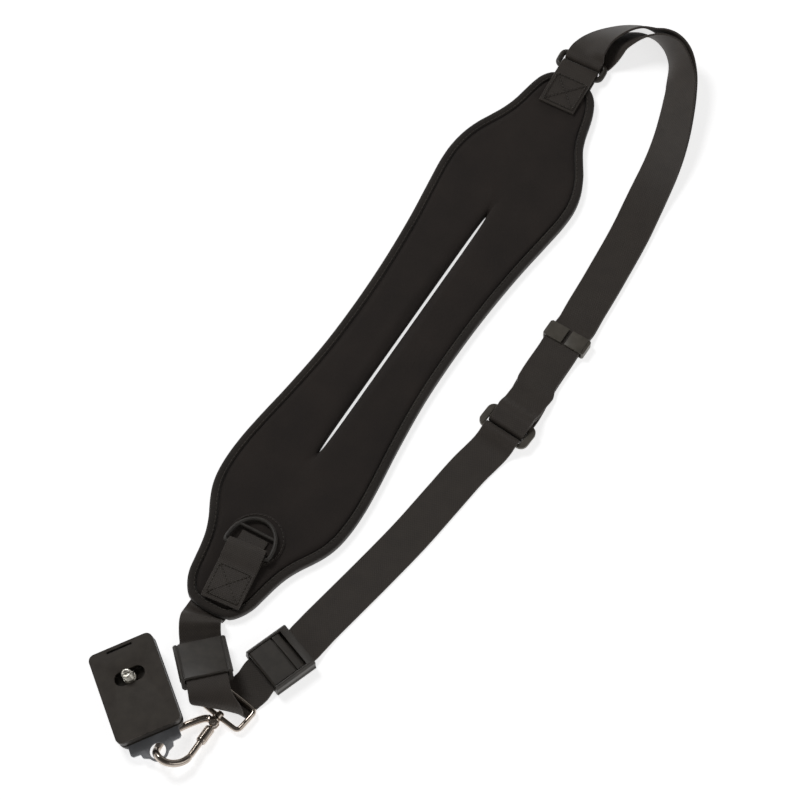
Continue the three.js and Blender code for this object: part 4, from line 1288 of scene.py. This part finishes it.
def sleeve():
    """The locking sleeve: a tube with a groove near each end."""
    hinge = in_hook(GATE_HINGE)
    along = (in_hook(GATE_TIP) - hinge).normalized()
    long, outer, inner = SLEEVE.long, SLEEVE.outer, SLEEVE.inner
    groove = outer - 0.35
    profile = [(0, inner), (0, outer - 0.5), (0.5, outer - 0.1), (1.2, outer), (1.6, outer)]
    profile += [(1.8, groove), (2.2, groove), (2.4, outer), (long - 2.4, outer), (long - 2.2, groove)]
    profile += [(long - 1.8, groove), (long - 1.6, outer), (long - 0.6, outer - 0.1)]
    profile += [(long, outer - 0.6), (long, inner), (0, inner)]
    return turned("nickel_sleeve", profile, hinge + along * SLEEVE.start, along, sides=48)


HOOK_FRAME = hook_frame()
settle(ring(), NICKEL, "strap", frame_of(**RING), ["ring"])
settle(hook(), NICKEL, "hook_and_plate", HOOK_FRAME, ["hook"])
settle(gate(), NICKEL, "gate", HOOK_FRAME, ["gate"])
settle(sleeve(), NICKEL, "sleeve", HOOK_FRAME, ["gate_sleeve"])


# Quick-release plate, its lug, carriage and screw

PLATE_SIZE = Sizes(wide=40.6, long=58.6, tall=11.6, rubber=1.1, corner=4)
UNDERCUT = Sizes(deep=2.9, tall=4.2)
GROOVE = Sizes(low=5.4, high=7.4, deep=0.9)
SEAT = Sizes(long=32.6, wide=26, tall=2.4, up=3.5, inside=6)
POCKET = Sizes(long=31, wide=14, top=8)
DECK_SLOT = Sizes(long=21, wide=9.8, corner=1.5)
LUG = Sizes(middle=-0.3, half=16, low=2.6, thick=1.8, inner=18, hole_at=-38.7, bore=5, ear=6.5)
RUBBER_SLIT = Sizes(long=16, wide=1.3, deep=4, x=-0.5, inside=2.6)
FLANGE = Sizes(long=22, wide=13, corner=2, low=5.4, high=7.6, bore=4.2)
SLOT = Sizes(at=8, long=19, wide=8.9)
SCREW_AT = -0.6
SCREW_RADIUS = 3.175
THREAD_PITCH = 1.27
THREAD_DEEP = 0.62
THREAD_LOW = 8
THREAD_HIGH = 17.8
PLATE_FRAME = frame_of(**PLATE)


def slot_cutter(low, high):
    """The rubber's long slot with round ends."""
    outline = rounded_outline(SLOT.long, SLOT.wide, SLOT.wide / 2 - 0.01, 0, SLOT.at, steps=12)
    return slab("slot", outline, low, high)


def undercut(side):
    """What the plate's slanted long side leaves out below its step."""
    edge = PLATE_SIZE.wide / 2
    inner = edge - UNDERCUT.deep
    top = UNDERCUT.tall
    outline = [(inner, -1), (edge + 1, -1), (edge + 1, top), (edge, top), (inner, 0)]
    reach = PLATE_SIZE.long / 2 + CUT_PAST
    wedge = turn_mesh(slab("undercut", outline, -reach, reach), ALONG_Y)
    return wedge if side > 0 else turn_mesh(wedge, Matrix.Rotation(math.pi, 4, "Z"))


def groove_cutter():
    """The groove that runs round the plate's sides."""
    wide, long, corner, deep = PLATE_SIZE.wide, PLATE_SIZE.long, PLATE_SIZE.corner, GROOVE.deep
    outer = slab("groove", rounded_outline(wide + 4, long + 4, corner + 2), GROOVE.low, GROOVE.high)
    core_outline = rounded_outline(wide - 2 * deep, long - 2 * deep, corner - deep)
    return combine(outer, slab("core", core_outline, 0, 20))


def plate_body():
    """The plate, with slanted sides, a groove, the lug's seat and the carriage's pocket and slot."""
    wide, long, tall = PLATE_SIZE.wide, PLATE_SIZE.long, PLATE_SIZE.tall
    body = slab("coated_plate", rounded_outline(wide, long, PLATE_SIZE.corner, steps=8), 0, tall)
    seat = block("seat", SEAT.long, SEAT.wide, SEAT.tall, LUG.middle, -long / 2 + SEAT.inside, SEAT.up)
    pocket = block("pocket", POCKET.long, POCKET.wide, 2 * POCKET.top, y=SLOT.at)
    deck_outline = rounded_outline(DECK_SLOT.long, DECK_SLOT.wide, DECK_SLOT.corner, 0, SLOT.at)
    deck = slab("deck_slot", deck_outline, 0, tall + 1)
    body = combine(body, undercut(1), undercut(-1), groove_cutter(), pocket, deck, seat)
    return soften(body, 0.3)


def plate_rubber():
    """The rubber face, with the screw's slot and a narrow slit near its far edge."""
    wide, long = PLATE_SIZE.wide, PLATE_SIZE.long
    low = PLATE_SIZE.tall + GAP
    high = low + PLATE_SIZE.rubber
    sheet = slab("rubber_face", rounded_outline(wide, long, PLATE_SIZE.corner, steps=8), low, high)
    slit_y = long / 2 - RUBBER_SLIT.inside
    size = (RUBBER_SLIT.long, RUBBER_SLIT.wide, RUBBER_SLIT.deep)
    slit = block("slit", *size, RUBBER_SLIT.x, slit_y, high)
    return soften(combine(sheet, slot_cutter(0, high + CUT_PAST), slit), 0.28)


def lug():
    """A flat tongue under the plate that narrows to a round ear with the hook's hole."""
    inner = -PLATE_SIZE.long / 2 + LUG.inner
    left = [(-LUG.half, inner), (-LUG.half, -35.4), (-LUG.half + 1.2, -36.6)]
    left += [(-10.3, -36.8), (-9.6, -39.6)]
    arc = [math.radians(205 + 10 * n) for n in range(14)]
    outline = [(LUG.middle + x, y) for x, y in left]
    outline += [(LUG.middle + LUG.ear * math.cos(a), LUG.hole_at + LUG.ear * math.sin(a)) for a in arc]
    outline += [(LUG.middle - x, y) for x, y in reversed(left)]
    high = LUG.low + LUG.thick
    piece = slab("steel_lug", outline, LUG.low, high)
    start, end = ((LUG.middle, LUG.hole_at, level) for level in (LUG.low - 1, high + 1))
    bore = rod("bore", LUG.bore, start, end, 48)
    return soften(combine(piece, bore), 0.3, 3)


def carriage_flange():
    """The carriage's flange, which slides in the plate's pocket."""
    outline = rounded_outline(FLANGE.long, FLANGE.wide, FLANGE.corner, SCREW_AT, SLOT.at)
    flange = soften(slab("flange_painted_shade", outline, FLANGE.low, FLANGE.high), 0.3)
    low, high = ((SCREW_AT, SLOT.at, level) for level in (FLANGE.low - 1.4, FLANGE.high + 1.4))
    return combine(flange, rod("bore", FLANGE.bore, low, high, 48))


def carriage_boss():
    """The bright collar round the screw."""
    profile = [(5.6, 3.5), (5.6, 4.1), (11.3, 4.1), (11.7, 3.7), (11.7, 3.5), (5.6, 3.5)]
    return turned("nickel_boss", profile, (SCREW_AT, SLOT.at, 0), UP, sides=48)


def thread_helix():
    """A helical thread: its grooves are drawn in as the angle goes round and the level rises."""
    sides, per_turn = 40, 8
    rows = round((THREAD_HIGH - THREAD_LOW) / THREAD_PITCH * per_turn)

    def place(column, row):
        angle = 2 * math.pi * column / sides
        level = THREAD_LOW + (THREAD_HIGH - THREAD_LOW) * row / rows
        phase = (level / THREAD_PITCH - column / sides) % 1
        crest = 1 - abs(2 * phase - 1)
        radius = SCREW_RADIUS - THREAD_DEEP * (1 - min(1, crest * 1.25))
        if row in (0, rows):
            radius = SCREW_RADIUS - 0.6
        return Vector((radius * math.cos(angle), radius * math.sin(angle), level))

    return wrapped_grid("nickel_tripod_screw", sides, rows, place, smooth_angle=50)


def tripod_screw():
    """The 1/4 inch screw: a threaded stud with a slotted tip, and a slotted head under the plate."""
    tip = [(17.7, 0), (17.7, 2.5), (18.1, 2.45), (18.6, 1.9), (18.6, 0)]
    end = combine(turned("end", tip, (0, 0, 0), UP), block("tip_slot", 8, 1.2, 1.6, z=18.6))
    profile = [(2.9, 0), (2.9, 5), (3.3, 5.5), (4.7, 5.5), (5.1, 5), (5.1, 3.1), (8.1, 3.1), (8.1, 0)]
    head = turned("head", profile, (0, 0, 0), UP, sides=48)
    head = combine(head, block("driver_slot", 14, 1.4, 2.4, z=2.9))
    piece = joined("nickel_tripod_screw", thread_helix(), end, head)
    return turn_mesh(piece, Matrix.Translation((SCREW_AT, SLOT.at, 0)))


settle(plate_body(), COATED_METAL, "hook_and_plate", PLATE_FRAME, ["plate_body"])
settle(plate_rubber(), RUBBER, "hook_and_plate", PLATE_FRAME, ["plate_rubber"])
settle(lug(), GREY_STEEL, "hook_and_plate", PLATE_FRAME, ["lug"])
# The metal flange takes the black coat: painted shade for the shadow it lies in under the slot
settle(carriage_flange(), COATED_METAL, "carriage", PLATE_FRAME)
settle(carriage_boss(), BRIGHT_NICKEL, "carriage", PLATE_FRAME, ["screw_carriage"])
settle(tripod_screw(), BRIGHT_NICKEL, "screw", PLATE_FRAME, ["tripod_screw"])
